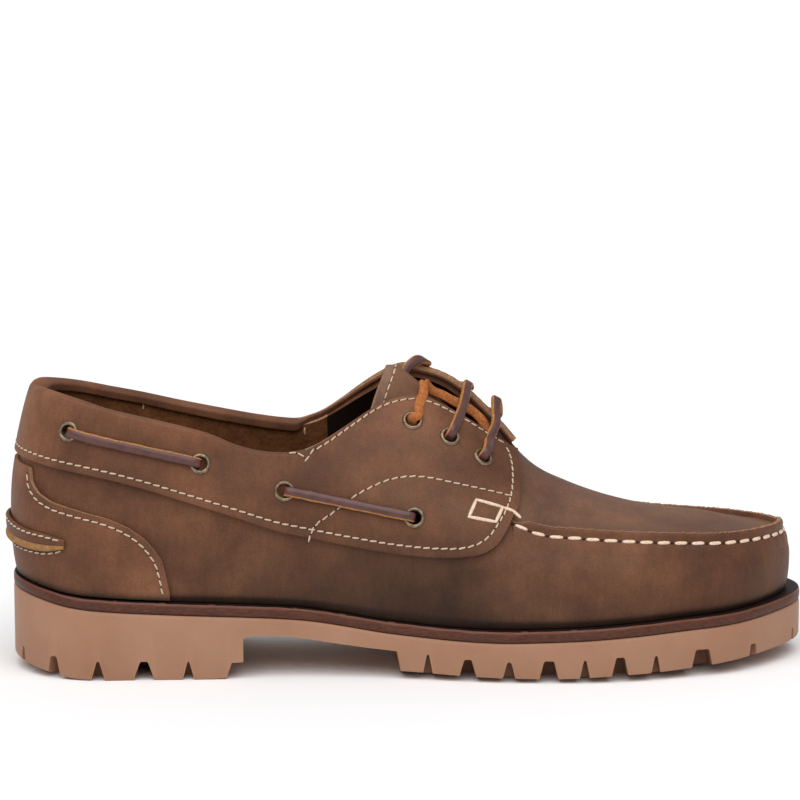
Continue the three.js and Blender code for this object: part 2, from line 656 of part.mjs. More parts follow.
// Apron seam: the raised edge where the side wall is sewn to the apron, from saddle to saddle.
const SEAM_START = 208;
const RIDGE_OUTSIDE = 1.2;
function apronSeam() {
  const run = [SEAM_START, 212, ...VAMP_STATIONS, ...SIDE.filter((a) => a >= TOE_START)];
  const loop = [...run, ...[...run].slice(0, -1).reverse().map((a) => RING - a)];
  return sweep(loop.map((s) => {
    const height = isInner(s) ? RIDGE_HEIGHT.inner : RIDGE_HEIGHT.outer;
    const outerFoot = offsetPoint(s, riseBy(s, SEAM_RISE, -RIDGE_OUTSIDE), GAP);
    const middleFoot = offsetPoint(s, SEAM_RISE, GAP);
    const innerFoot = offsetPoint(s, riseBy(s, SEAM_RISE, RIDGE_THICKNESS - RIDGE_OUTSIDE), GAP);
    const { dx, dy } = spine(s);
    const outerTop = middleFoot.clone().add(new THREE.Vector3(dx * 0.5, dy * 0.5, height));
    const inward = new THREE.Vector3(-dx * RIDGE_THICKNESS, -dy * RIDGE_THICKNESS, -RIDGE_FALL);
    const innerTop = outerTop.clone().add(inward);
    return [outerFoot, outerTop, innerTop, innerFoot, middleFoot];
  }));
}

// Tongue: a leather sheet under the throat, from beneath the apron to above the collar.
const TONGUE_COLUMNS = ["station", "outerReach", "innerReach", "lift", "slant"];
const TONGUE_ROWS = [
  [160.5, 21, 17, 3.6, 9],
  [163, 23, 20, 2.8, 7],
  [167, 24, 23, 1.8, 5],
  [172, 25, 25, 1.2, 2],
  [179, 26, 25, 0.6, 0],
  [186, 25, 24, 0.5, 0],
  [193, 23, 21, 0.2, 0],
  [200, 20, 18, 0, 0],
  [207.6, 16, 15, 0, 0],
  [215, 15, 15, 0, 0],
  [222, 14, 14, 0, 0],
].map((row) => Object.fromEntries(TONGUE_COLUMNS.map((name, k) => [name, row[k]])));
const TONGUE_DEPTH = LEATHER_WALL + 1.5;
const TONGUE_STEPS = 4;
const LEANING = { outer: 1, middle: 0.5, inner: 0 };
function tongueRow({ station, outerReach, innerReach, lift, slant }, offset) {
  const points = [];
  for (let k = -TONGUE_STEPS; k <= TONGUE_STEPS; k += 1) {
    const share = Math.abs(k) / TONGUE_STEPS;
    const s = onSide(station - slant * share, k > 0);
    const reach = share * (k > 0 ? innerReach : outerReach);
    const rise = k === 0 ? 3 : riseBy(s, 3, -reach);
    const edge = Math.min(edgeRise(s), 2.95);
    const open = THREE.MathUtils.clamp((rise - edge) / (3 - edge) - 0.5, 0, 1);
    const leaning = [LEANING.outer, LEANING.middle, LEANING.inner][Math.sign(k) + 1];
    const raised = leaning * lift * Math.sin((open * Math.PI) / 2);
    points.push(offsetPoint(s, rise, offset + raised));
  }
  return points;
}

function tongue() {
  return sweep(TONGUE_ROWS.map((row) => [
    ...tongueRow(row, -TONGUE_DEPTH - TONGUE_THICKNESS),
    ...tongueRow(row, -TONGUE_DEPTH).reverse(),
  ]));
}

// Eyelets: brass rings on the band, four along each side and three up each eyestay.
const EYELET_COLUMNS = ["name", "station", "height"];
const EYELETS = [
  ["side_1", 40.4, 92.2], ["side_2", 90.2, 80.1], ["side_3", 121, 69.9], ["side_4", 168.9, 60.3],
  ["stay_1", 169.2, 92.3], ["stay_2", 182.6, 86.4], ["stay_3", 194.4, 78.6],
].map((row) => Object.fromEntries(EYELET_COLUMNS.map((name, k) => [name, row[k]])));
const INNER_RISE = 7.2;
const EYELET_BASE = BAND_GAP + OVERLAY + GAP;

function eyeletPlace({ name, station, height }, inner) {
  const s = onSide(station, inner);
  const lift = inner && name.startsWith("stay") ? INNER_RISE : 0;
  return { s, rise: riseAtHeight(s, height + lift) };
}

function eyelet(row, inner) {
  const hole = EYELET_HOLE / 2;
  const rim = EYELET_OUTER / 2;
  const foot = 0.1;
  const roll = 0.5;
  const profile = [
    [hole, foot], [rim, foot], [rim - roll, EYELET_HEIGHT], [hole + roll, EYELET_HEIGHT], [hole, foot],
  ];
  const ring = new THREE.LatheGeometry(profile.map(([r, h]) => new THREE.Vector2(r, h)), 12);
  const { s, rise } = eyeletPlace(row, inner);
  const normal = faceNormal(s, rise);
  const turn = new THREE.Quaternion().setFromUnitVectors(new THREE.Vector3(0, 1, 0), normal);
  const at = offsetPoint(s, rise, EYELET_BASE);
  ring.applyQuaternion(turn);
  ring.translate(at.x, at.y, at.z);
  ring.deleteAttribute("normal");
  ring.deleteAttribute("uv");
  return mergeVertices(ring, 1e-4);
}

// Side laces: flat rawhide that shows along the collar from one eyelet to the next.
const LACE_CLEAR = EYELET_BASE + EYELET_HEIGHT + GAP;
const LACE_PAST_HOLE = 1.4;
function strapAlong(places, lift) {
  return sweep(places.map(({ s, rise, bump }) => {
    const base = lift + bump;
    const low = riseBy(s, rise, -LACE_WIDTH / 2);
    const high = riseBy(s, rise, LACE_WIDTH / 2);
    return [
      offsetPoint(s, low, base), offsetPoint(s, high, base),
      offsetPoint(s, high, base + LACE_THICKNESS), offsetPoint(s, low, base + LACE_THICKNESS),
    ];
  }));
}

const LACE_STEPS = 7;
const LACE_BOW = 0.5;
function sideLace(fromRow, toRow, inner) {
  const from = { ...fromRow, station: fromRow.station - LACE_PAST_HOLE };
  const to = { ...toRow, station: toRow.station + LACE_PAST_HOLE };
  const places = [];
  for (let k = 0; k <= LACE_STEPS; k += 1) {
    const t = k / LACE_STEPS;
    const station = from.station + t * (to.station - from.station);
    const height = from.height + t * (to.height - from.height);
    const s = onSide(station, inner);
    places.push({ s, rise: riseAtHeight(s, height), bump: LACE_BOW * Math.sin(t * Math.PI) });
  }
  if (inner) places.reverse();
  return strapAlong(places, LACE_CLEAR);
}

// Lace bars: flat rawhide across the throat, from each stay eyelet over both edges to the other side.
const BAR_FORWARD = [5, 7, 4.6];
const BAR_STEPS = 11;
const BAR_WIDE = new THREE.Vector3(1, 0, -0.6).normalize();
function laceBar(row, forward) {
  const near = eyeletPlace(row, false);
  const far = eyeletPlace({ ...row, station: row.station + forward }, true);
  const nearEdge = riseBy(near.s, riseAtHeight(near.s, collarLine(near.s)), -1);
  const farEdge = riseBy(far.s, riseAtHeight(far.s, collarLine(far.s)), -1);
  const clear = LACE_CLEAR + 0.2 + LACE_THICKNESS / 2;
  const edgeClear = BAND_GAP + OVERLAY + 1.5 + LACE_THICKNESS / 2;
  const route = [
    offsetPoint(near.s, riseBy(near.s, near.rise, -LACE_PAST_HOLE), clear),
    offsetPoint(near.s, riseBy(near.s, near.rise, 3.4), clear + 0.15),
    offsetPoint(near.s, nearEdge, edgeClear),
    offsetPoint(far.s, farEdge, edgeClear),
    offsetPoint(far.s, riseBy(far.s, far.rise, 3), clear),
    offsetPoint(far.s, riseBy(far.s, far.rise, -LACE_PAST_HOLE), clear),
  ];
  const curve = new THREE.CatmullRomCurve3(route, false, "centripetal");
  const sections = [];
  for (let k = 0; k <= BAR_STEPS; k += 1) {
    const at = curve.getPoint(k / BAR_STEPS);
    const run = curve.getTangent(k / BAR_STEPS);
    const across = BAR_WIDE.clone().addScaledVector(run, -BAR_WIDE.dot(run)).normalize();
    const thick = across.clone().cross(run).normalize();
    const corner = (u, v) => at.clone()
      .addScaledVector(across, (u * LACE_WIDTH) / 2)
      .addScaledVector(thick, (v * LACE_THICKNESS) / 2);
    sections.push([corner(-1, -1), corner(1, -1), corner(1, 1), corner(-1, 1)]);
  }
  return sweep(sections);
}

const assembly = new THREE.Group();
assembly.add(mesh("outsole", outsole(), COLORS.sole, 0.75));
assembly.add(mesh("welt_board", welt(), COLORS.welt, 0.6));
assembly.add(mesh("insole", insole(), COLORS.lining, 0.9));
assembly.add(mesh("upper", upper(), COLORS.leather, 0.65));
assembly.add(mesh("tongue", tongue(), COLORS.leather, 0.65));
assembly.add(mesh("saddle_band", band(), COLORS.leather, 0.65));
assembly.add(mesh("heel_counter", counter(), COLORS.leather, 0.65));
assembly.add(mesh("heel_strap", heelStrap(), COLORS.leather, 0.65));
assembly.add(mesh("apron_seam", apronSeam(), COLORS.leather, 0.65));
["outer", "inner"].forEach((side) => {
  const inner = side === "inner";
  EYELETS.forEach((row) => {
    assembly.add(mesh(`eyelet_${side}_${row.name}`, eyelet(row, inner), COLORS.eyelet, 0.4, 0.8));
  });
  assembly.add(mesh(`lace_${side}_rear`, sideLace(EYELETS[0], EYELETS[1], inner), COLORS.lace, 0.6));
  assembly.add(mesh(`lace_${side}_front`, sideLace(EYELETS[2], EYELETS[3], inner), COLORS.lace, 0.6));
});
EYELETS.slice(4).forEach((row, k) => {
  assembly.add(mesh(`lace_bar_${k + 1}`, laceBar(row, BAR_FORWARD[k]), COLORS.lace, 0.6));
});

export default assembly;
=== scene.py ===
# Boat shoe for the right foot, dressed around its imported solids.
import math

import bpy
import numpy as np
from mathutils import Matrix, Vector


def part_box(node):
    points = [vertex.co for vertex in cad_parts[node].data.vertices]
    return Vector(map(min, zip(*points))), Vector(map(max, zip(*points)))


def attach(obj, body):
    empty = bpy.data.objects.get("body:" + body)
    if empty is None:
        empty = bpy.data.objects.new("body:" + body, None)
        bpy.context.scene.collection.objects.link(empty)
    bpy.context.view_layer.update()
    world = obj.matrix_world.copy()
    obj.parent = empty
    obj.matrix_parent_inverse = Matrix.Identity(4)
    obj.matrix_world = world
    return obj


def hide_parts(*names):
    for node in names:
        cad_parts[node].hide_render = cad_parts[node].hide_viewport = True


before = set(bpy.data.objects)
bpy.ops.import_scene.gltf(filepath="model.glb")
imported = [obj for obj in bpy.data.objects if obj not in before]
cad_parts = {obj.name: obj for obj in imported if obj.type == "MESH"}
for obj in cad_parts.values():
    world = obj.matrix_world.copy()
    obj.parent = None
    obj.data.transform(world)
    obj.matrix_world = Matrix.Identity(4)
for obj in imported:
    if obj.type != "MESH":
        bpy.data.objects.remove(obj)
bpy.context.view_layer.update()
bpy.ops.object.select_all(action="DESELECT")

# Camera: a long lens a metre and a quarter away, a little behind the shoe's middle and
# above it, as the photograph was taken.
AIM = Vector((0.1062, 0.0, 0.0982))
CAMERA_TURN = math.radians(-4)
CAMERA_RISE = math.radians(9)
CAMERA_DISTANCE = 1.25
PICTURE_PIXELS = 800
PIXELS_PER_METRE = 2645
SENSOR = 36
toward_camera = Vector((
    math.sin(CAMERA_TURN) * math.cos(CAMERA_RISE),
    -math.cos(CAMERA_TURN) * math.cos(CAMERA_RISE),
    math.sin(CAMERA_RISE),
))
bpy.ops.object.camera_add(
    location=AIM + toward_camera * CAMERA_DISTANCE,
    rotation=toward_camera.to_track_quat("Z", "Y").to_euler(),
)
camera = bpy.context.object
camera.data.sensor_width = SENSOR
camera.data.lens = SENSOR * PIXELS_PER_METRE * CAMERA_DISTANCE / PICTURE_PIXELS
bpy.context.scene.camera = camera
bpy.context.scene.view_settings.view_transform = "Standard"

# Studio: a pale floor that runs on into a pale surround, under one very broad soft light from
# above and in front.
def node(tree, kind, values=None, **settings):
    made = tree.nodes.new(kind)
    for name, value in settings.items():
        setattr(made, name, value)
    for socket, value in (values or {}).items():
        if isinstance(value, bpy.types.NodeSocket):
            tree.links.new(value, made.inputs[socket])
        else:
            made.inputs[socket].default_value = value
    return made


def new_material(name, colour, roughness, **sockets):
    material = bpy.data.materials.new(name)
    material.use_nodes = True
    tree = material.node_tree
    shader = tree.nodes["Principled BSDF"]
    shader.inputs["Base Color"].default_value = (*colour, 1)
    shader.inputs["Roughness"].default_value = roughness
    for socket, value in sockets.items():
        shader.inputs[socket.replace("_", " ")].default_value = value
    return material, tree, shader


def wire(shader, **sockets):
    for socket, output in sockets.items():
        shader.id_data.links.new(output, shader.inputs[socket.replace("_", " ")])


FLOOR_SIZE = 60
bpy.ops.mesh.primitive_plane_add(size=FLOOR_SIZE, location=(AIM.x, 0, 0))
floor = bpy.context.object
floor.name = "studio_floor"
floor.data.materials.append(new_material("studio_floor", (0.93, 0.93, 0.935), 0.9)[0])

world = bpy.data.worlds.new("studio")
world.use_nodes = True
world.node_tree.nodes["Background"].inputs["Color"].default_value = (1, 1, 1, 1)
world.node_tree.nodes["Background"].inputs["Strength"].default_value = 0.45
bpy.context.scene.world = world

SOFT_LIGHT_FROM = Vector((-0.12, -0.55, 1.0))
bpy.ops.object.light_add(type="SUN", rotation=SOFT_LIGHT_FROM.to_track_quat("Z", "Y").to_euler())
lamp = bpy.context.object
lamp.name = "soft_light"
lamp.data.angle = math.radians(70)
lamp.data.energy = 2.5

# Outsole: one moulded unit of gum rubber with a heel, a raised waist and square-shouldered
# lugs round its edge. Its wall follows the shoe's plan, which is a ring of stations round a
# centre line: a fan at the heel, straight sides and a fan at the toe, in millimetres.
MM = 0.001
HEEL_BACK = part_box("welt_board")[0].x
HEEL_AXIS = 36.0
TOE_AXIS = 256.0
HEEL_FAN = 56.0
TOE_FAN = 70.0
HALF_RING = HEEL_FAN + TOE_AXIS - HEEL_AXIS + TOE_FAN
RING = 2 * HALF_RING
TOE_START = HALF_RING - TOE_FAN
SECTION_COLUMNS = ("edge", "feather", "bulge", "bulge_z", "shoulder", "shoulder_z",
                   "lean", "crown", "top", "top_z", "apex")
OUTER_SIDE = {
    0: (36.0, 32.8, 34.9, 58, 31.6, 86, 11, 13, 23.5, 112, 26),
    28: (37.3, 33.6, 35.5, 57, 31.8, 86, 11, 13, 25.0, 112, 26),
    56: (36.4, 32.8, 34.8, 55, 31.5, 85, 11, 13, 26.0, 112, 26),
    95: (37.0, 33.0, 35.4, 51, 31.6, 80, 14, 17, 25.0, 106, 28),
    132: (37.0, 33.6, 36.2, 48, 31.2, 77, 20, 26, 18.0, 106, 45),
    152: (39.6, 36.2, 38.2, 45, 31.0, 77, 27, 33, -3.0, 110, 62),
    170: (43.0, 39.6, 41.6, 42, 31.5, 76, 31, 36, -6.0, 109, 80),
    186: (47.2, 43.6, 45.6, 39, 34.0, 70, 34, 39, -6.0, 103.5, 75),
    202: (50.5, 46.6, 48.6, 37, 37.5, 61, 38, 46, -4.0, 89, 68),
    214: (51.8, 47.8, 49.7, 36, 39.6, 55.6, 40, 58, 0, 75.6, 88),
    230: (53.0, 49.0, 50.4, 35, 41.2, 53.8, 40, 67, 0, 66.0, 90),
    250: (51.6, 47.6, 49.2, 34.5, 41.0, 52.2, 40, 76, 0, 58.8, 90),
    276: (45.0, 41.0, 42.8, 35, 36.8, 50.4, 38, 82, 0, 54.2, 90),
    311: (39.8, 36.0, 37.8, 36, 33.4, 49.4, 36, 86, 0, 54.2, 90),
    346: (43.9, 38.4, 39.7, 38, 35.4, 48.4, 35, 88, 0, 54.2, 90),
}
INNER_SIDE = {
    28: (35.4, 31.8, 33.8, 58, 30.6, 86, 10, 13, 24.5, 112, 26),
    56: (34.7, 31.2, 33.2, 57, 30.2, 85, 10, 13, 25.5, 112, 26),
    95: (33.7, 30.0, 33.2, 55, 30.2, 81, 12, 15, 25.0, 106, 28),
    132: (29.4, 26.2, 32.0, 52, 29.8, 78, 15, 20, 20.0, 106, 45),
    152: (31.2, 27.8, 33.0, 50, 29.4, 80, 19, 24, 3.0, 110, 66),
    170: (35.0, 31.4, 35.4, 47, 29.4, 81, 22, 25, 6.0, 109, 82),
    186: (41.0, 37.0, 39.8, 43, 31.0, 75, 27, 28, 6.0, 103.5, 85),
    202: (45.6, 41.6, 43.8, 39, 34.4, 66, 33, 36, 4.0, 89, 85),
    214: (48.4, 44.2, 46.2, 37, 37.2, 57.5, 38, 52, 0, 75.6, 88),
    230: (51.0, 46.8, 48.6, 35.5, 39.6, 53.0, 40, 66, 0, 66.0, 90),
    250: (51.2, 47.0, 48.6, 34.8, 40.4, 50.0, 40, 75, 0, 58.8, 90),
    276: (46.2, 42.0, 43.6, 34.6, 37.4, 47.4, 38, 80, 0, 54.2, 90),
    311: (41.6, 37.6, 39.2, 35, 34.2, 47.4, 36, 84, 0, 54.2, 90),
}


def hermite(start, leave, end, arrive, t):
    return ((2 * t**3 - 3 * t**2 + 1) * start + (t**3 - 2 * t**2 + t) * leave
            + (3 * t**2 - 2 * t**3) * end + (t**3 - t**2) * arrive)


def smooth(rows, period=0):
    rows = np.array(rows, float)
    if period:
        rows = np.vstack([rows[-3:] - (period, 0), rows, rows[:3] + (period, 0)])
    x, y = rows.T
    rise = np.diff(y) / np.diff(x)
    back, ahead = np.diff(x)[:-1], np.diff(x)[1:]
    slope = np.concatenate([rise[:1], (rise[:-1] * ahead + rise[1:] * back) / (back + ahead), rise[-1:]])

    def curve(at):
        i = np.clip(np.searchsorted(x, at) - 1, 0, len(x) - 2)
        span = x[i + 1] - x[i]
        t = np.clip((at - x[i]) / span, 0, 1)
        return hermite(y[i], slope[i] * span, y[i + 1], slope[i + 1] * span, t)
    return curve


all_sections = {**OUTER_SIDE, **{RING - s: row for s, row in reversed(INNER_SIDE.items())}}
section = {
    name: smooth([(s, row[k]) for s, row in all_sections.items()], RING)
    for k, name in enumerate(SECTION_COLUMNS)
}
welt_top = smooth([(0, 35.8), (8, 34.4), (20, 31.9), (36, 30.2), (57, 28.9), (82, 27.8), (98, 26.9),
                   (111, 25.8), (124, 23.9), (137, 21.9), (150, 20.6), (176, 19.3), (207, 20.1),
                   (236, 21.6), (266, 23.0), (300, 25.2)])
tread_edge = smooth([(0, 4.7), (12, 2.4), (22, 0.6), (34, 0), (72, 0), (140, 3.2), (150, 2.8),
                     (166, 2.1), (186, 1.6), (204, 1.6), (221, 2.3), (250, 3.4), (275, 5.3), (300, 6.6)])
TREAD_MIDDLE = np.array([(0, 4.0), (12, 1.6), (20, 0), (230, 0), (250, 0.8), (275, 3.2), (300, 6.0)])


def along(s):
    at = np.mod(s, RING)
    return np.where(at > HALF_RING, RING - at, at)


def is_inner(s):
    return np.mod(s, RING) > HALF_RING


def spine(s):
    a = along(s)
    x = np.clip(HEEL_AXIS + a - HEEL_FAN, HEEL_AXIS, TOE_AXIS)
    quarter = math.pi / 2
    turn = np.where(a < HEEL_FAN, math.pi - a / HEEL_FAN * quarter,
                    np.where(a > TOE_START, (HALF_RING - a) / TOE_FAN * quarter, quarter))
    return x, np.cos(turn), np.where(is_inner(s), 1, -1) * np.sin(turn)


def plan_point(s, out, z):
    x, dx, dy = spine(s)
    return np.stack(np.broadcast_arrays(x + dx * out, dy * out, z), -1)


def mirror_round(side):
    side = np.asarray(side, float)
    return np.concatenate([side, RING - side[-2::-1]])


def in_frame(points):
    return np.asarray(points) * MM + (HEEL_BACK, 0, 0)


# A grid primitive whose every vertex is placed, and whose meeting edges are merged.
EMPTY_SLOTS = 8


def grid_piece(name, points, material_rows=None, merge=0.02):
    rows, columns = points.shape[:2]
    bpy.ops.object.select_all(action="DESELECT")
    bpy.ops.mesh.primitive_grid_add(x_subdivisions=columns - 1, y_subdivisions=rows - 1)
    piece = bpy.context.object
    piece.name = piece.data.name = name
    piece.data.vertices.foreach_set("co", in_frame(points).ravel())
    for _ in range(EMPTY_SLOTS):
        piece.data.materials.append(None)
    if material_rows is not None:
        piece.data.polygons.foreach_set("material_index", np.ravel(material_rows).astype(int))
    edit(piece, lambda: bpy.ops.mesh.remove_doubles(threshold=merge * MM))
    return piece


def activate(piece):
    bpy.ops.object.select_all(action="DESELECT")
    piece.select_set(True)
    bpy.context.view_layer.objects.active = piece


def edit(piece, *steps):
    bpy.context.view_layer.objects.active = piece
    bpy.ops.object.mode_set(mode="EDIT")
    bpy.ops.mesh.select_all(action="SELECT")
    for step in steps:
        step()
    bpy.ops.object.mode_set(mode="OBJECT")


def face_outward(piece):
    edit(piece, lambda: bpy.ops.mesh.normals_make_consistent(inside=False))


def close_ends(piece):
    edit(piece, lambda: bpy.ops.mesh.select_all(action="DESELECT"), bpy.ops.mesh.select_non_manifold,
         bpy.ops.mesh.fill)
    face_outward(piece)


def finish_with(piece, kind, **settings):
    activate(piece)
    modifier = piece.modifiers.new(kind, kind)
    for name, value in settings.items():
        setattr(modifier, name, value)
    bpy.ops.object.modifier_apply(modifier=modifier.name)


def shade(piece, angle):
    activate(piece)
    bpy.ops.object.shade_smooth_by_angle(angle=math.radians(angle))


def dress(piece, materials, slot, *replaced):
    faces = np.zeros(len(piece.data.polygons), int)
    piece.data.polygons.foreach_get("material_index", faces)
    piece.data.materials.clear()
    for material in materials:
        piece.data.materials.append(material)
    piece.data.polygons.foreach_set("material_index", np.minimum(faces, len(materials) - 1))
    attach(piece, "root")
    if replaced:
        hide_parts(*replaced)
    return piece


# Rows of a closed shape round the plan, from the spine underneath out to the edge and back on top.
def slab(name, rows, steps=2.0):
    side = np.linspace(0, HALF_RING, int(HALF_RING / steps))
    around = mirror_round(side)
    edge = section["edge"](np.mod(around, RING))
    loops = []
    for share, inset, height in rows:
        flat = plan_point(around, np.maximum(share * (edge - inset), 0), 0.0)
        flat[:, 2] = height(flat[:, 0])
        loops.append(flat)
    piece = grid_piece(name, np.array(loops))
    face_outward(piece)
    return piece


def cutter(name, profile, depth, at=(0, 0, 0), turn=0.0):
    bpy.ops.object.select_all(action="DESELECT")
    bpy.ops.mesh.primitive_circle_add(vertices=len(profile), fill_type="NGON")
    piece = bpy.context.object
    piece.name = name
    points = np.array([(x, -depth / 2, z) for x, z in profile], float)
    piece.data.vertices.foreach_set("co", (points * MM).ravel())
    edit(piece, lambda: bpy.ops.mesh.extrude_region_move(
        TRANSFORM_OT_translate={"value": (0, depth * MM, 0)}))
    face_outward(piece)
    piece.data.transform(Matrix.Translation(Vector(in_frame(at))) @ Matrix.Rotation(turn, 4, "Z"))
    return piece


def cut(piece, cutters):
    bpy.ops.object.select_all(action="DESELECT")
    for tool in cutters:
        tool.select_set(True)
    bpy.context.view_layer.objects.active = cutters[0]
    if len(cutters) > 1:
        bpy.ops.object.join()
    finish_with(piece, "BOOLEAN", object=cutters[0], operation="DIFFERENCE", solver="EXACT")
    bpy.data.objects.remove(cutters[0])


WELT_THICKNESS = 4.2
WELT_GAP = 0.3
sole_head = lambda x: welt_top(x) - WELT_THICKNESS - WELT_GAP
BOTTOM_CORNER = 0.8
TOP_CORNER = 1.4
LUG_RING = 13
tread_middle = lambda x: np.interp(x, *TREAD_MIDDLE.T)
outsole = slab("outsole_rubber", [
    (0, 0, tread_middle),
    (1, LUG_RING, tread_middle),
    (1, BOTTOM_CORNER, tread_edge),
    (1, 0.25, lambda x: tread_edge(x) + 0.25),
    (1, 0, lambda x: tread_edge(x) + BOTTOM_CORNER),
    (1, 0, lambda x: sole_head(x) - TOP_CORNER),
    (1, 0.2, lambda x: sole_head(x) - 0.4),
    (1, 0.6, sole_head),
    (0, 0, sole_head),
])
BELOW = -5
SHANK = [(77.2, BELOW), (81.2, 6.2), (85.5, 6.4), (85.5, 15.2), (88, 16.4), (104, 15.7), (117, 13.6),
         (130, 11.9), (142.2, 10.7), (143.9, 2), (145, BELOW)]
LONG, SHORT = 15, 8
# Each gap's place along the foot, its top, its width at foot and head, and its length.
LUG_GAPS = [
    (3.8, 9.4, 4.2, 1.6, 5), (15.4, 8.5, 5.8, 2.8, LONG), (31.8, 7.3, 4.8, 1.3, SHORT),
    (48.8, 7.1, 7.4, 3.2, LONG), (65.2, 6.9, 4.0, 0.9, SHORT), (153.5, 9.8, 4.4, 1.0, SHORT),
    (168, 8.5, 7.0, 3.0, LONG), (183, 7.9, 5.2, 1.8, SHORT), (197.6, 8.5, 7.6, 4.0, LONG),
    (210.8, 8.7, 4.4, 1.2, SHORT), (224, 9.5, 7.2, 3.4, LONG), (237.6, 9.3, 4.6, 1.2, SHORT),
    (255.6, 10.4, 9.4, 5.4, LONG), (276.4, 9.9, 5.0, 3.0, SHORT), (295, 11.2, 4.2, 1.8, 5),
]
GAP_FOOT_HEIGHT = 1
GAP_CORNER = 0.6
CHANNEL_WIDTH = 4.4
CHANNEL_LENGTH = 50
CHANNEL_TOP = 4.6
MIDDLE_CHANNEL = (160, 262)
LUG_OVERRUN = 4
PAST_BOTH_SIDES = 160


def edge_station(x, inner):
    side = np.linspace(0, HALF_RING, 2000)
    s = RING - side if inner else side
    reach = plan_point(s, section["edge"](np.mod(s, RING)), 0.0)[:, 0]
    return float(np.interp(x, reach, s))


def lug_gap(x, top, foot, head, length, inner):
    s = edge_station(x, inner)
    _, dx, dy = (float(v) for v in spine(s))
    flare = (foot - head) / (top - GAP_FOOT_HEIGHT)
    low = (foot + flare * (GAP_FOOT_HEIGHT - BELOW)) / 2
    high, corner = head / 2, min(0.5, head / 4)
    profile = [(-low, BELOW), (low, BELOW), (high, top - GAP_CORNER), (high - corner, top),
               (corner - high, top), (-high, top - GAP_CORNER)]
    reach = length + LUG_OVERRUN
    middle = section["edge"](s % RING) - length + reach / 2
    return cutter("lug_gap", profile, reach, plan_point(s, middle, 0.0), math.atan2(dy, dx) + math.pi / 2)


cut(outsole, [cutter("shank_gap", SHANK, PAST_BOTH_SIDES)])
cut(outsole, [lug_gap(*row, inner) for row in LUG_GAPS for inner in (False, True)])


def channel(start, end, width):
    profile = [(start, BELOW), (end, BELOW), (end, CHANNEL_TOP), (start, CHANNEL_TOP)]
    return cutter("channel", profile, width)


cut(outsole, [channel(x - CHANNEL_WIDTH / 2, x + CHANNEL_WIDTH / 2, CHANNEL_LENGTH)
              for x, _, _, _, length in LUG_GAPS if length == LONG and x > HEEL_AXIS])
cut(outsole, [channel(*MIDDLE_CHANNEL, CHANNEL_WIDTH)])
shade(outsole, 35)


def noise(tree, vector, scale, detail=2.0, roughness=0.5):
    values = {"Vector": vector, "Scale": scale, "Detail": detail, "Roughness": roughness}
    return node(tree, "ShaderNodeTexNoise", values).outputs[0]


def ramp(tree, factor, stops):
    made = node(tree, "ShaderNodeValToRGB", {"Fac": factor})
    elements = made.color_ramp.elements
    while len(elements) < len(stops):
        elements.new(0.5)
    for element, (place, colour) in zip(elements, stops):
        element.position = place
        element.color = (*colour, 1)
    return made.outputs["Color"]


def ranged(tree, value, low, high, start=0.0, end=1.0):
    values = {"Value": value, "From Min": start, "From Max": end, "To Min": low, "To Max": high}
    return node(tree, "ShaderNodeMapRange", values).outputs[0]


def lightened(tree, colour, value):
    return node(tree, "ShaderNodeHueSaturation", {"Color": colour, "Value": value}).outputs[0]


def bump(tree, height, strength, depth):
    values = {"Height": height, "Strength": strength, "Distance": depth * MM}
    return node(tree, "ShaderNodeBump", values).outputs[0]


def sum_of(tree, a, b):
    return node(tree, "ShaderNodeMath", {0: a, 1: b}, operation="ADD").outputs[0]


def object_place(tree, stretch=(1, 1, 1)):
    at = node(tree, "ShaderNodeTexCoord").outputs["Object"]
    return node(tree, "ShaderNodeMapping", {"Vector": at, "Scale": stretch}).outputs[0]


GUM = (0.325, 0.160, 0.092)
GUM_PALE = (0.375, 0.205, 0.127)
rubber, tree, shader = new_material("gum_rubber", GUM, 0.52, Subsurface_Weight=0.12,
                                    Subsurface_Scale=0.004, Specular_IOR_Level=0.25)
at = object_place(tree)
clouds = noise(tree, at, 35, 3)
speckle = noise(tree, at, 1300, 2)
colour = ramp(tree, clouds, [(0.3, GUM), (0.7, GUM_PALE)])
wire(shader, Base_Color=lightened(tree, colour, ranged(tree, speckle, 0.94, 1.05)))
wire(shader, Roughness=ranged(tree, clouds, 0.46, 0.6))
wire(shader, Normal=bump(tree, speckle, 0.25, 0.12))
dress(outsole, [rubber], "gum_rubber", "outsole")

# Welt: a strip of dark red-brown leather board between rubber and upper, its edge trimmed
# flush with the sole and a little uneven where the knife went round. Its top is painted
# near-black as the shade under the upper, and its top corner is painted lighter as a highlight.
welt = slab("welt_strip", [
    (0, 0, lambda x: welt_top(x) - WELT_THICKNESS),
    (1, 0.5, lambda x: welt_top(x) - WELT_THICKNESS),
    (1, 0.05, lambda x: welt_top(x) - WELT_THICKNESS + 0.5),
    (1, 0, lambda x: welt_top(x) - 2.4 + 0.1 * np.sin(x / 3.1)),
    (1, 0.05, lambda x: welt_top(x) - 0.9 + 0.12 * np.sin(x / 2.3)),
    (1, 0.45, lambda x: welt_top(x) - 0.15 + 0.1 * np.sin(x / 1.9) * np.sin(x / 7)),
    (1, 1.1, lambda x: welt_top(x) + 0.05 * np.sin(x / 2.7)),
    (1, 2.4, lambda x: welt_top(x)),
    (0, 0, welt_top),
], 1.2)
shade(welt, 50)
WELT_DARK = (0.048, 0.015, 0.008)
WELT_RED = (0.112, 0.037, 0.020)
board, tree, shader = new_material("welt_leather", WELT_DARK, 0.5, Specular_IOR_Level=0.25)
at = object_place(tree, (1, 1, 5))
fibres = noise(tree, at, 420, 4, 0.6)
patches = noise(tree, object_place(tree), 90, 3)
colour = ramp(tree, fibres, [(0.3, WELT_DARK), (0.72, WELT_RED)])
wire(shader, Base_Color=lightened(tree, colour, ranged(tree, patches, 0.7, 1.35)))
wire(shader, Roughness=ranged(tree, patches, 0.38, 0.6))
wire(shader, Normal=bump(tree, fibres, 0.5, 0.25))
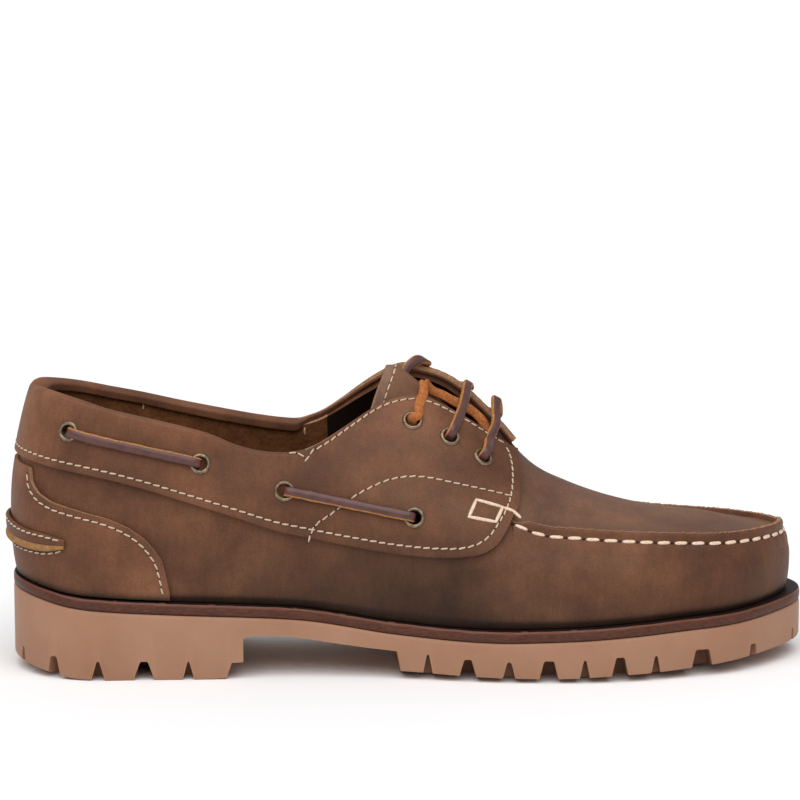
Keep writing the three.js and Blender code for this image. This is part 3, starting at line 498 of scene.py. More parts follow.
# The welt's top faces are painted near-black as shade.
painted_top_shade = new_material("welt_top_painted_shade", (0.012, 0.006, 0.005), 0.5, Specular_IOR_Level=0.2)[0]
# The welt's upper corner faces are painted lighter as an edge highlight.
painted_edge_highlight = new_material("welt_edge_painted_highlight", (0.135, 0.040, 0.021), 0.45, Specular_IOR_Level=0.3)[0]
# Faces that look up get the painted shade, and faces at the corner get the painted highlight.
TOP_FACES_FROM, CORNER_FACES_FROM = 0.93, 0.35
normals = np.zeros(3 * len(welt.data.polygons))
welt.data.polygons.foreach_get("normal", normals)
tilt = normals[2::3]
welt_parts = np.select([tilt > TOP_FACES_FROM, tilt > CORNER_FACES_FROM], [1, 2], 0)
welt.data.polygons.foreach_set("material_index", welt_parts)
dress(welt, [board, painted_top_shade, painted_edge_highlight], "welt_leather", "welt_board")

# Insole: a suede sock glued over a leather board, seen through the collar. The solid is shown
# as it is, in the same suede as the lining.
SUEDE_DARK = (0.085, 0.030, 0.012)
SUEDE_WARM = (0.27, 0.105, 0.038)
suede, tree, shader = new_material("lining_suede", SUEDE_WARM, 0.95, Sheen_Weight=0.04,
                                   Sheen_Roughness=0.5, Specular_IOR_Level=0.1)
at = object_place(tree)
nap = noise(tree, at, 650, 5, 0.7)
strokes = noise(tree, at, 130, 3, 0.6)
colour = ramp(tree, sum_of(tree, ranged(tree, nap, -0.1, 0.5), ranged(tree, strokes, 0, 0.6)),
              [(0.25, SUEDE_DARK), (0.75, SUEDE_WARM)])
wire(shader, Base_Color=colour)
wire(shader, Normal=bump(tree, nap, 0.9, 0.7))
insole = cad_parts["insole"]
insole.data.materials.clear()
insole.data.materials.append(suede)

# Upper: side wall and apron of oiled mid-brown leather, 2.4 mm thick, lasted over the foot's
# shape. Its face rises from the feather line on the welt over the bulge to the shoulder and
# closes at the top. Soft troughs are set in where the foot has bent it.
GAP = 0.3
LEATHER_WALL = 2.4
OVERLAY = 1.5
BAND_GAP = 1.0
THROAT_FRONT = 210.2
THROAT_CLOSED = 211.6
EDGE_UNDER_FOLD = OVERLAY + 0.8
PROFILE = np.linspace(0, 3, 151)
collar_outer = smooth([
    (0, 105.6), (21, 106.6), (45, 103.8), (62, 99.4), (78.6, 95.4), (95.5, 90.5), (104, 86.8),
    (115.6, 84.2), (124, 84), (129.6, 85), (135, 87.1), (141, 90.1), (147, 93), (152.6, 95.7),
    (158.6, 98.3), (165, 100.1), (171, 100.4), (177, 98.8), (186, 94.1), (197, 86.6), (203, 82.5),
    (207.3, 79.7), (209.6, 78.5)])
collar_inner = smooth([
    (0, 105.6), (12, 106.6), (30, 105), (41, 103.4), (52, 101.4), (68, 98.3), (83, 94.9), (99, 91.6),
    (114, 88.8), (122, 87.7), (129.5, 87.4), (137, 89.6), (145, 94.8), (152, 100.2), (160, 105.6),
    (166.5, 109), (172, 109.8), (178, 108.7), (184, 106.4), (190, 102.4), (197, 97), (202, 92.6),
    (207, 86.6), (209.6, 82.2)])
band_foot = smooth([
    (0, 82), (30, 79.4), (51, 76.3), (67, 72.3), (84, 67), (104, 60.6), (118, 55.9), (131.5, 53),
    (146, 50.1), (163, 47.5), (178, 46.5), (187, 46.8), (194.5, 48.4), (199.5, 51.6), (202.4, 55.2),
    (204.8, 59.3), (207.4, 63.6), (208.8, 70), (209.6, 75.5)])


# How strongly the face's curve leaves or meets its foot, its bulge, its shoulder and its top.
OUT_OF_FOOT, UP_FROM_FOOT, UP_AT_BULGE = 2.2, 0.7, 1.2
IN_AT_SHOULDER, UP_AT_SHOULDER, OVER_TOP = 1.3, 1.1, 1.1


def face_point(s, rise):
    s, rise = np.broadcast_arrays(np.asarray(s, float), np.asarray(rise, float))
    at = np.mod(s, RING)
    g = {name: curve(at) for name, curve in section.items()}
    top_z = np.where(along(s) > TOE_START, section["top_z"](TOE_START), g["top_z"])
    x, dx, _ = spine(s)
    foot = welt_top(x + dx * g["feather"]) + GAP
    lean, crown, apex = (np.radians(g[name]) for name in ("lean", "crown", "apex"))
    low, high = g["bulge_z"] - foot, g["shoulder_z"] - g["bulge_z"]
    cap = OVER_TOP * np.hypot(g["shoulder"] - g["top"], top_z - g["shoulder_z"])
    t = [np.clip(rise - k, 0, 1) for k in range(3)]
    out = np.select([rise <= 1, rise <= 2], [
        hermite(g["feather"], OUT_OF_FOOT * (g["bulge"] - g["feather"]), g["bulge"], 0, t[0]),
        hermite(g["bulge"], 0, g["shoulder"], -IN_AT_SHOULDER * high * np.sin(lean), t[1]),
    ], hermite(g["shoulder"], -cap * np.sin(crown), g["top"], -cap * np.sin(apex), t[2]))
    z = np.select([rise <= 1, rise <= 2], [
        hermite(foot, UP_FROM_FOOT * low, g["bulge_z"], UP_AT_BULGE * low, t[0]),
        hermite(g["bulge_z"], UP_AT_BULGE * high, g["shoulder_z"],
                UP_AT_SHOULDER * high * np.cos(lean), t[1]),
    ], hermite(g["shoulder_z"], cap * np.cos(crown), top_z, cap * np.cos(apex), t[2]))
    return plan_point(s, out, z)


def face_normal(s, rise):
    rise = np.clip(rise, 0.02, 2.96)
    round_it = face_point(s + 0.5, rise) - face_point(s - 0.5, rise)
    up_it = face_point(s, rise + 0.02) - face_point(s, rise - 0.02)
    normal = np.cross(round_it, up_it)
    return normal / np.linalg.norm(normal, axis=-1, keepdims=True)


def on_face(s, rise, offset=0.0):
    s, rise = np.broadcast_arrays(np.asarray(s, float), np.asarray(rise, float))
    return face_point(s, rise) + face_normal(s, rise) * np.asarray(offset)[..., None]


def rise_at_height(s, z):
    s, z = np.broadcast_arrays(np.atleast_1d(s).astype(float), z)
    heights = face_point(s[:, None], PROFILE[None])[..., 2]
    return np.array([np.interp(zk, row, PROFILE) for zk, row in zip(z, heights)])


def rise_after(s, rise, length):
    s, rise, length = np.broadcast_arrays(np.atleast_1d(s).astype(float), rise, length)
    points = face_point(s[:, None], PROFILE[None])
    steps = np.linalg.norm(np.diff(points, axis=1), axis=-1)
    runs = np.concatenate([np.zeros((len(s), 1)), np.cumsum(steps, 1)], 1)
    return np.array([np.interp(np.interp(r, PROFILE, run) + d, run, PROFILE)
                     for r, d, run in zip(rise, length, runs)])


def collar_rise(s):
    line = np.where(is_inner(s), collar_inner(along(s)), collar_outer(along(s)))
    return rise_at_height(s, line)


def edge_rise(s):
    under = rise_after(s, collar_rise(s), -EDGE_UNDER_FOLD)
    return np.where(along(s) > THROAT_CLOSED - 0.01, 3.0, under)


CREASE_COLUMNS = ("inner", "station", "rise", "wide", "tall", "slant", "depth")
CREASES = [
    (False, 226, 1.25, 7, 0.42, 9, 0.55), (False, 243, 1.35, 5, 0.35, 7, 0.4),
    (False, 214, 1.0, 9, 0.5, 10, 0.45), (False, 108, 1.0, 16, 0.45, 12, 0.5),
    (False, 262, 1.0, 12, 0.5, -6, 0.35), (True, 226, 1.25, 7, 0.42, 9, 0.6),
    (True, 244, 1.3, 5, 0.35, 7, 0.45), (True, 150, 1.0, 14, 0.45, 10, 0.6),
    (True, 96, 1.1, 12, 0.4, -9, 0.45), (False, 222, 2.55, 7, 0.5, 5, 0.35),
    (True, 224, 2.5, 7, 0.5, 5, 0.4),
]
RIM_SHARE, RIM_AT = 0.45, 1.9


def creased(s, rise):
    depth = np.zeros(np.broadcast(s, rise).shape)
    for row in CREASES:
        crease = dict(zip(CREASE_COLUMNS, row))
        above = rise - crease["rise"]
        across = (along(s) - crease["station"] + crease["slant"] * above) / crease["wide"]
        up = above / crease["tall"]
        here = is_inner(s) == crease["inner"]
        trough = np.exp(-across**2) - RIM_SHARE * np.exp(-(np.abs(across) - RIM_AT)**2)
        depth -= here * crease["depth"] * trough * np.exp(-up**2)
    return depth


def thicken(piece, thickness, inner_part, edge_part, inset=-1):
    finish_with(piece, "SOLIDIFY", thickness=thickness * MM, offset=inset, use_quality_normals=True,
                material_offset=inner_part, material_offset_rim=edge_part)


UPPER_ROWS = 62
upper_side = np.concatenate([np.arange(0, 208, 2.0), [208.4, THROAT_FRONT, THROAT_CLOSED],
                             np.arange(213.4, HALF_RING, 1.95), [HALF_RING]])
round_upper = mirror_round(upper_side)
edge = edge_rise(round_upper)
rises = np.linspace(0, 1, UPPER_ROWS)[:, None] * edge[None]
upper_points = on_face(round_upper[None], rises, creased(round_upper[None], rises))
closed = np.flatnonzero(along(round_upper) > THROAT_CLOSED - 0.01)
partner = len(round_upper) - 1 - closed
upper_points[-1, closed] = (upper_points[-1, closed] + upper_points[-1, partner]) / 2
toe_fan = along(round_upper) >= TOE_START
upper_points[-1, toe_fan] = upper_points[-1, toe_fan].mean(0)
SUEDE_ENDS = 140
SEAM_RISE = 1.94
APRON_STARTS = 204
SIDE, APRON, FORE = 0, 3, 5
middle_rise = (rises[1:, 1:] + rises[:-1, :-1]) / 2
middle_along = (along(round_upper)[1:] + along(round_upper)[:-1])[None] / 2
on_apron = (middle_along > APRON_STARTS) & (middle_rise > SEAM_RISE)
upper_parts = np.select([on_apron, (middle_along > SUEDE_ENDS) | on_apron], [APRON, FORE], SIDE)
upper = grid_piece("upper_leather", upper_points, upper_parts, merge=0.3)
RAW_EDGE = 2
thicken(upper, LEATHER_WALL, 1, RAW_EDGE)


def oiled_leather(name, dark, middle, warm, gloss=0.22):
    material, tree, shader = new_material(name, middle, 0.55, Specular_IOR_Level=gloss)
    at = object_place(tree)
    clouds = noise(tree, at, 17, 3, 0.55)
    mottle = noise(tree, at, 85, 4, 0.6)
    brush = noise(tree, object_place(tree, (1, 1, 0.22)), 520, 3, 0.6)
    pores = noise(tree, at, 1500, 3, 0.6)
    colour = ramp(tree, clouds, [(0.34, dark), (0.5, middle), (0.66, warm)])
    colour = lightened(tree, colour, ranged(tree, mottle, 0.74, 1.26, 0.25, 0.75))
    colour = lightened(tree, colour, ranged(tree, brush, 0.9, 1.1, 0.25, 0.75))
    colour = lightened(tree, colour, ranged(tree, pores, 0.8, 1.18, 0.25, 0.75))
    # Painted shade and wear: the colour is darkened where this attribute is high.
    low_shade_and_wear = node(tree, "ShaderNodeAttribute", attribute_name="low_shade_and_wear").outputs["Fac"]
    wire(shader, Base_Color=lightened(tree, colour, ranged(tree, low_shade_and_wear, 1, 0.12)))
    wire(shader, Roughness=ranged(tree, mottle, 0.46, 0.66, 0.25, 0.75))
    grain = sum_of(tree, pores, ranged(tree, mottle, 0, 0.8))
    wire(shader, Normal=bump(tree, grain, 0.5, 0.32))
    return material


# Painted shade, together with wax, dirt and rubbing: the upper is painted darker towards the welt
# and lower down, as shade from the light above and in the crease along the welt. It is darkest just
# above the welt, darker low on the side wall and most at the waist, and darker on the saddle below its
# stays.
WELT_CREASE_SHADE_AND_WAX = {"dark": 0.85, "from": 0.6, "fade": 1.9}
SIDE_SHADE_AND_RUB = {"dark": 0.62, "full": 1.15, "fade": 42}
SADDLE_SHADE_AND_RUB = {"dark": 0.34, "x": 152, "wide": 40, "top": 92, "fade": 20}
SHADE_AND_RUB_ALONG = [(30, 0.3), (85, 1), (180, 0.9), (240, 0.75), (290, 0.55)]


# Stores the painted shade and wear of each point as an attribute on the piece.
def paint_low_shade_and_wear(piece, side_shade_and_rub=1.0):
    points = np.zeros(3 * len(piece.data.vertices))
    piece.data.vertices.foreach_get("co", points)
    x, _, z = (points.reshape(-1, 3) - (HEEL_BACK, 0, 0)).T / MM
    above = z - welt_top(np.clip(x, 0, 300))
    line, side, saddle = WELT_CREASE_SHADE_AND_WAX, SIDE_SHADE_AND_RUB, SADDLE_SHADE_AND_RUB
    dark = line["dark"] * np.exp(-(np.maximum(above - line["from"], 0) / line["fade"])**2)
    along_side = side_shade_and_rub * np.interp(x, *np.transpose(SHADE_AND_RUB_ALONG))
    dark += side["dark"] * along_side * np.clip(side["full"] - above / side["fade"], 0, 1)
    dark += (saddle["dark"] * np.exp(-((x - saddle["x"]) / saddle["wide"])**2)
             * np.clip((saddle["top"] - z) / saddle["fade"], 0, 1))
    shown = piece.data.attributes.new("low_shade_and_wear", "FLOAT", "POINT")
    shown.data.foreach_set("value", np.clip(dark, 0, 1))


leather = oiled_leather("upper_leather", (0.108, 0.042, 0.020), (0.168, 0.067, 0.032),
                        (0.240, 0.104, 0.050))
apron_leather = oiled_leather("apron_leather", (0.130, 0.058, 0.034), (0.178, 0.083, 0.046),
                              (0.220, 0.104, 0.056), 0.28)
# The inside of the apron and of the forefoot is painted near-black as the shade inside the toe.
forefoot_inside_painted_shade = new_material("forefoot_inside_painted_shade", (0.017, 0.010, 0.007), 0.6, Specular_IOR_Level=0.2)[0]


def raw_leather(name, dark, pale):
    material, tree, shader = new_material(name, pale, 0.85, Specular_IOR_Level=0.2)
    at = object_place(tree)
    fibres = noise(tree, at, 900, 4, 0.7)
    wire(shader, Base_Color=ramp(tree, fibres, [(0.3, dark), (0.7, pale)]))
    wire(shader, Normal=bump(tree, fibres, 0.7, 0.3))
    return material


raw_edge = raw_leather("raw_edge", (0.20, 0.098, 0.050), (0.42, 0.245, 0.140))
shade(upper, 60)
paint_low_shade_and_wear(upper)
dress(upper, [leather, suede, raw_edge, apron_leather, forefoot_inside_painted_shade, leather, forefoot_inside_painted_shade, leather],
      "upper_leather", "upper")

# Saddle band: the collar and both saddles in one strip round the heel. At the back its top
# edge is rolled in over the upper, and at the throat it is cut and left raw.
BAND_OUT = BAND_GAP + OVERLAY
CUT_BEVEL = 0.45
BAND_END = 208.8
FOLD_ENDS = 133.5
FOLD_RAMP = 5
COLLAR_FOLD = 0.8
GROOVE_DEPTH = 0.3
GROOVE_WIDTH = 0.9
LINE_STEP = 0.5


def run_along(points):
    return np.concatenate([[0], np.cumsum(np.linalg.norm(np.diff(points, axis=0), axis=1))])


def follow(places, rows, at):
    return np.stack([smooth(np.stack([places, column], 1))(at) for column in np.transpose(rows)], 1)


def read_along(places, rows, at):
    return np.stack([np.interp(at, places, column) for column in rows.T], -1)


def both_ways(side):
    return np.concatenate([-side[:0:-1], side])


def line_through(rows):
    run = run_along(rows)
    return follow(run, rows, np.linspace(0, run[-1], max(int(run[-1] / LINE_STEP), 4)))


FOOT_STITCH = line_through([
    (0, 85), (30, 82.6), (51, 79.4), (67, 75.3), (84, 70.1), (104, 63.7), (118, 59.2), (131.5, 56.3),
    (146, 53.5), (163, 50.9), (178, 50.0), (187, 50.5), (192, 52), (196, 54.8), (199.2, 58.8),
    (202, 62.6), (204.2, 67), (205.4, 71.5), (205.8, 76), (205.3, 79.5), (204.2, 82)])
STAY_STITCH = line_through([
    (129.6, 51.4), (132, 57.2), (138.9, 62.6), (144.4, 66.8), (152, 71.2), (160.2, 74.3), (168.5, 75.3),
    (174, 74.8), (181.6, 73.2), (189.9, 71.2), (197.5, 69.2), (204.6, 67.1)])
TOP_STITCH_DROP = 1.9
TOP_STITCH_FROM, TOP_STITCH_TO = 131.5, 203.6
NOTCH = np.array([(122.5, 84.1), (126.5, 83.6), (129.2, 81.4)])
INNER_NOTCH_RISE = 2.4


# A line on the face whose heights are those of the leather laid over it.
def face_line(rows, inner, over=BAND_OUT):
    s = RING - rows[:, 0] if inner else rows[:, 0]
    rise = rise_at_height(s, rows[:, 1])
    for _ in range(2):
        rise = rise_at_height(s, rows[:, 1] - over * face_normal(s, rise)[:, 2])
    return s, rise


def top_stitch(inner):
    a = np.linspace(TOP_STITCH_FROM, TOP_STITCH_TO, 150)
    s = RING - a if inner else a
    rise = rise_after(s, collar_rise(s), -TOP_STITCH_DROP)
    notch = line_through(NOTCH + (0, INNER_NOTCH_RISE if inner else 0))
    notch_s, notch_rise = face_line(notch, inner)
    return np.concatenate([notch_s, s]), np.concatenate([notch_rise, rise])


# Each line of stitches draws the leather in along its length.
def press_in(points, s, rises, lines):
    depth = np.zeros(points.shape[:-1])
    for line in lines:
        for p in line[::2]:
            near = np.sum((points - p)**2, -1)
            depth = np.maximum(depth, np.exp(-near / GROOVE_WIDTH**2))
    points -= face_normal(s[None], rises) * (GROOVE_DEPTH * depth)[..., None]


# The raw edge of a sheet is a little rounded.
def round_edges(piece, width, **settings):
    finish_with(piece, "BEVEL", width=width * MM, segments=2, limit_method="ANGLE",
                angle_limit=math.radians(55), **settings)


band_lines = []
for inner in (False, True):
    for s, rise in (face_line(FOOT_STITCH, inner), face_line(STAY_STITCH, inner), top_stitch(inner)):
        band_lines.append(on_face(s, rise, BAND_OUT))
band_side = np.concatenate([np.arange(0, 196, 1.5), np.linspace(196, BAND_END, 16)])
band_s = both_ways(band_side)
band_top = collar_rise(band_s)
LEAST_BAND = 5
band_low = np.minimum(rise_at_height(band_s, band_foot(along(band_s))),
                      rise_after(band_s, band_top, -LEAST_BAND))
fold = np.clip((FOLD_ENDS - along(band_s)) / FOLD_RAMP, 0, 1)
CUT_ROUNDNESS, ROLLED_ROUNDNESS = 0.6, 1.6
CUT_INSIDE, ROLLED_INSIDE = -0.4, -LEATHER_WALL - GAP - OVERLAY
INNER_LEAF = 1.5
roundness = CUT_ROUNDNESS + (ROLLED_ROUNDNESS - CUT_ROUNDNESS) * fold
inside = CUT_INSIDE + (ROLLED_INSIDE - CUT_INSIDE) * fold
upper_end = rise_after(band_s, band_top, -roundness)
OUTER_ROWS, ROLL_ROWS, INNER_ROWS = 44, 9, 5
rows = [(band_low + (upper_end - band_low) * t, np.full_like(band_s, BAND_OUT))
        for t in np.linspace(0, 1, OUTER_ROWS)]
middle, half = (BAND_OUT + inside) / 2, (BAND_OUT - inside) / 2
for turn in np.linspace(0, math.pi, ROLL_ROWS + 2)[1:-1]:
    rise = rise_after(band_s, band_top, roundness * (math.sin(turn) - 1))
    rows.append((rise, middle + half * math.cos(turn)))
for t in np.linspace(0, 1, INNER_ROWS):
    rows.append((rise_after(band_s, band_top, -roundness - t * (INNER_LEAF + COLLAR_FOLD * fold)), inside))
band_rises, band_offsets = (np.array(column) for column in zip(*rows))
band_points = on_face(band_s[None], band_rises, band_offsets)
press_in(band_points[:OUTER_ROWS], band_s, band_rises[:OUTER_ROWS], band_lines)
edge_rows = np.zeros((len(rows) - 1, len(band_s) - 1))
left_raw = np.abs(band_s[1:] + band_s[:-1]) / 2 > FOLD_ENDS - FOLD_RAMP
edge_rows[OUTER_ROWS + 1:OUTER_ROWS + 5, left_raw] = RAW_EDGE
band = grid_piece("saddle_band_leather", band_points, edge_rows, merge=0.001)
thicken(band, OVERLAY, 0, RAW_EDGE)
round_edges(band, CUT_BEVEL, material=RAW_EDGE)
shade(band, 50)
paint_low_shade_and_wear(band)
dress(band, [leather, leather, raw_edge], "upper_leather", "saddle_band")

# Heel counter: a panel round the heel under the band, swept forward to the welt at each side,
# its cut edge left raw and pale.
COUNTER_END = 78.6
COUNTER_TOP = [(0, 78.6), (22, 77.6), (24, 72.6), (28, 69), (34, 66.4), (44, 64), (56, 60.9), (64, 57.2),
               (69.7, 53), (73.2, 48.9), (75.8, 45), (77.4, 39), (COUNTER_END, 32.6)]
COUNTER_OUT = GAP + OVERLAY
ABOVE_WELT = 0.9
COUNTER_STITCH = line_through([
    (21, 75.5), (22.6, 71.2), (26.8, 67.2), (33.4, 64.2), (43.4, 61.7), (55, 58.7), (62.4, 55.3),
    (67.7, 51.4), (71, 47.6), (73.2, 44), (74.8, 38.6), (76, 31.8)])
counter_side = np.concatenate([np.linspace(0, 21, 12), np.linspace(21.6, 30, 16),
                               np.linspace(31.5, 62, 22), np.linspace(63, COUNTER_END, 30)])
counter_s = both_ways(counter_side)
counter_high = rise_at_height(counter_s, np.interp(along(counter_s), *np.array(COUNTER_TOP).T))
counter_low = rise_after(counter_s, 0.0, ABOVE_WELT)
counter_share = np.linspace(0, 1, 40)[:, None]
counter_rises = counter_low[None] + (counter_high - counter_low)[None] * counter_share
counter_points = on_face(counter_s[None], counter_rises, COUNTER_OUT)
counter_lines = [on_face(*face_line(COUNTER_STITCH, inner, COUNTER_OUT), COUNTER_OUT)
                 for inner in (False, True)]
press_in(counter_points, counter_s, counter_rises, counter_lines)
counter = grid_piece("heel_counter_leather", counter_points, merge=0.001)
thicken(counter, OVERLAY, 0, 1)
round_edges(counter, CUT_BEVEL, material=1)
shade(counter, 50)
paint_low_shade_and_wear(counter, 0.1)
dress(counter, [leather, raw_edge], "upper_leather", "heel_counter")

# Heel strap: a short strip of leather folded lengthways and sewn across the back of the
# counter, grain side above, suede side below, its ends worn thin.
STRAP_HALF = np.array([
    (0, 48.8, 58.2, 2.2), (8, 48.6, 57.6, 2.2), (16, 48.3, 56.4, 2.1), (24, 48.0, 55.4, 2.0),
    (34, 48.2, 54.4, 1.8), (40, 49.4, 53.0, 1.5)])
STRAP_END = 40.6
strap_s = both_ways(np.linspace(0, STRAP_END, 36))


def strap_at(s):
    return (smooth(STRAP_HALF[:, (0, k)])(along(s)) for k in (1, 2, 3))


foot_z, head_z, proud = strap_at(strap_s)
STRAP_BASE = COUNTER_OUT + 0.1
STRAP_SECTION = [(0, 0), (0, 0.5), (0.03, 0.8), (0.14, 1.0), (0.28, 0.95), (0.33, 0.7), (0.37, 0.62),
                 (0.42, 0.76), (0.6, 0.84), (0.8, 0.84), (0.95, 0.74), (1, 0.5), (1, 0), (0.5, 0), (0, 0)]
strap_rows = []
for height, depth in STRAP_SECTION:
    rise = rise_at_height(strap_s, foot_z + height * (head_z - foot_z))
    strap_rows.append(on_face(strap_s, rise, STRAP_BASE + depth * proud))
suede_rows = np.zeros((len(STRAP_SECTION) - 1, len(strap_s) - 1))
suede_rows[:6] = 1
strap = grid_piece("heel_strap_leather", np.array(strap_rows), suede_rows)
close_ends(strap)
finish_with(strap, "SUBSURF", levels=1, render_levels=1)
shade(strap, 60)
tan_suede = raw_leather("tan_suede", (0.20, 0.095, 0.035), (0.42, 0.22, 0.085))
paint_low_shade_and_wear(strap)
dress(strap, [leather, tan_suede], "upper_leather", "heel_strap")

# Apron seam: the side wall's edge stands up round the apron and is sewn through by hand.
# It is drawn in a little between the stitches, and its cut top is torn and pale.
SEAM_START = 205.0
SEAM_PITCH = 6.7
RIDGE_HEIGHT = {"outer": 3.3, "inner": 2.6}
RIDGE_RISES_OVER = 7
PUFF = 0.22
# Rows on the wall: how far down, how far out, and their share of the puff.
WALL_ROWS = [(7.5, -0.15, 0), (6, 0.15, 0), (4, 0.5, 1), (2.6, 0.75, 1), (1.5, 0.62, 0.6), (0.8, 0.7, 0.6)]
# Rows on the ridge: how far out, their share of the puff, and of the height and its torn top.
RIDGE_ROWS = [
    (0.95, 1, 0.3, 0), (1.05, 1, 0.6, 0), (0.85, 0.5, 0.86, 0), (0.45, 0, 1, 0.6), (-0.5, 0, 1, 1),
    (-1.15, 0, 0.97, 0.6), (-1.45, 0, 0.75, 0), (-1.6, 0, 0.4, 0), (-1.9, 0, 0.08, 0)]
UNDER_ROWS = [(-3.2, -0.2, 0), (0, -0.6, 0), (7.5, -0.15, 0)]
seam_side = np.concatenate([np.arange(SEAM_START, TOE_START, 0.9), np.linspace(TOE_START, HALF_RING, 80)])
seam_s = np.concatenate([seam_side, RING - seam_side[-2::-1]])
seam_centre = on_face(seam_s, SEAM_RISE, 0.0)
seam_run = run_along(seam_centre)
pull = 0.5 - 0.5 * np.cos(2 * math.pi * seam_run / SEAM_PITCH)
TEARS = ((0.16, 2.9, 0), (0.12, 5.3, 1), (0.1, 1.1, 0))
torn = sum(size * np.sin(seam_run * pace + turn) for size, pace, turn in TEARS)
height = np.where(is_inner(seam_s), RIDGE_HEIGHT["inner"], RIDGE_HEIGHT["outer"])
height = height * np.clip((along(seam_s) - SEAM_START) / RIDGE_RISES_OVER, 0.1, 1)
_, out_x, out_y = spine(seam_s)
outward = np.stack([out_x, out_y, 0 * out_x], 1)
upward = np.array([0, 0, 1.0])


def wall_row(drop, lift, puffed):
    return on_face(seam_s, rise_after(seam_s, SEAM_RISE, -drop), lift + puffed * puff)


def ridge_row(out, puffed, share, frayed):
    up = height * share + torn * frayed
    return seam_centre + outward * (out + puffed * puff)[:, None] + upward * up[:, None]


puff = PUFF * pull
ridge_rows = [*(wall_row(*row) for row in WALL_ROWS), *(ridge_row(*row) for row in RIDGE_ROWS),
              *(wall_row(*row) for row in UNDER_ROWS)]
ridge_materials = np.zeros((len(ridge_rows) - 1, len(seam_s) - 1))
ridge_materials[9:11] = 1
ridge = grid_piece("apron_seam_leather", np.array(ridge_rows), ridge_materials)
close_ends(ridge)
shade(ridge, 50)
paint_low_shade_and_wear(ridge)
dress(ridge, [leather, raw_edge], "upper_leather", "apron_seam")

# Tongue: a loose sheet of the same leather under the throat. It stands up in an arch at its
# free end, where the edge is turned over and sewn, and sinks between the stays ahead of that.
TONGUE_THICKNESS = 2.0
TONGUE_UNDER = LEATHER_WALL + 1.5
# Each row: its middle's place, its near and far station, and how far down its far edge starts.
TONGUE_ROWS = np.array([
    (140.4, -5, 111.2, 153, 158, 3), (144.4, -4.5, 110.6, 158, 162, 4), (149.5, -3, 106.4, 165, 168, 6),
    (153.2, -1.5, 103.2, 171, 173, 7), (160, 0, 97.4, 179, 180, 8), (168, 0, 90.6, 187, 188, 8),
    (176, 0, 83.8, 195, 196, 7), (184, 0, 77.0, 203, 204, 5), (192, 0, 70.0, 211, 212, 3),
    (200, 0, 64.6, 219, 220, 2)])
NEAR_DROPS, FAR_FOOT = (14, 1.5), 16
EDGE_RISE_MOST = 2.6
TONGUE_ACROSS, TONGUE_ALONG = 48, 64
TURNED_EDGE_ENDS = 0.75
control = []
for x, y, z, near_station, far_station, far_drop in TONGUE_ROWS:
    ends = []
    for s, drops in ((near_station, NEAR_DROPS), (RING - far_station, (far_drop, FAR_FOOT))):
        top = np.minimum(edge_rise(np.array([s])), EDGE_RISE_MOST)
        ends.append(on_face(s, rise_after(s, top, -np.array(drops, float)), -TONGUE_UNDER))
    row = line_through([*ends[0], (x, y, z), *ends[1]])
    control.append(read_along(np.linspace(0, 1, len(row)), row, np.linspace(0, 1, TONGUE_ACROSS)))
along_tongue = np.linspace(0, len(control) - 1, TONGUE_ALONG)
tongue_points = np.array([follow(np.arange(len(control)), line, along_tongue) for line in zip(*control)])
turned_edge = np.zeros((TONGUE_ACROSS - 1, TONGUE_ALONG - 1))
turned_edge[:, along_tongue[1:] < TURNED_EDGE_ENDS] = 3
tongue = grid_piece("tongue_leather", tongue_points, turned_edge, merge=0.001)
thicken(tongue, TONGUE_THICKNESS, 1, RAW_EDGE, 0)
face_outward(tongue)
round_edges(tongue, 0.4)
shade(tongue, 50)
tongue_border = oiled_leather("tongue_border", (0.16, 0.085, 0.055), (0.21, 0.118, 0.078),
                              (0.25, 0.14, 0.09))
dress(tongue, [apron_leather, suede, raw_edge, tongue_border, suede, raw_edge],
      "upper_leather", "tongue")

# Eyelets: antique brass, each a rolled flange on the band with a barrel pressed through every
# layer. There are four along each side and three up each eyestay.
EYELETS = {"side_1": (40.4, 92.2), "side_2": (90.2, 80.1), "side_3": (121, 69.9), "side_4": (168.9, 60.3),
           "stay_1": (169.2, 92.3), "stay_2": (182.6, 86.4), "stay_3": (194.4, 78.6)}
INNER_STAY_RISE = 7.2
HOLE = 2.4
FLANGE = 3.95
BARREL = 4.6
HOLE_ROOM = 0.25
TOOL_DEPTH, TOOL_INSIDE = 14, 2
SIDES = (("outer", False), ("inner", True))
EYELET_PROFILE = [(HOLE, -BARREL), (HOLE, 0.1), (HOLE + 0.15, 0.5), (HOLE + 0.5, 0.78), (HOLE + 0.85, 0.8),
                  (FLANGE - 0.35, 0.55), (FLANGE - 0.08, 0.25), (FLANGE, 0.02), (FLANGE - 0.3, -0.05),
                  (HOLE + 0.2, -0.05), (HOLE + 0.2, -BARREL), (HOLE, -BARREL)]


def place_on_band(station, z, inner, lift=0):
    s = np.array([RING - station if inner else station])
    rise = rise_at_height(s, z)
    return on_face(s, rise, BAND_OUT + lift)[0], face_normal(s, rise)[0]


def hole_frame(name, inner):
    station, z = EYELETS[name]
    return place_on_band(station, z + (INNER_STAY_RISE if inner and name.startswith("stay") else 0), inner)


def set_on(centre, normal):
    turn = Vector((0, 0, 1)).rotation_difference(Vector(normal)).to_matrix().to_4x4()
    return Matrix.Translation(Vector(in_frame(centre))) @ turn


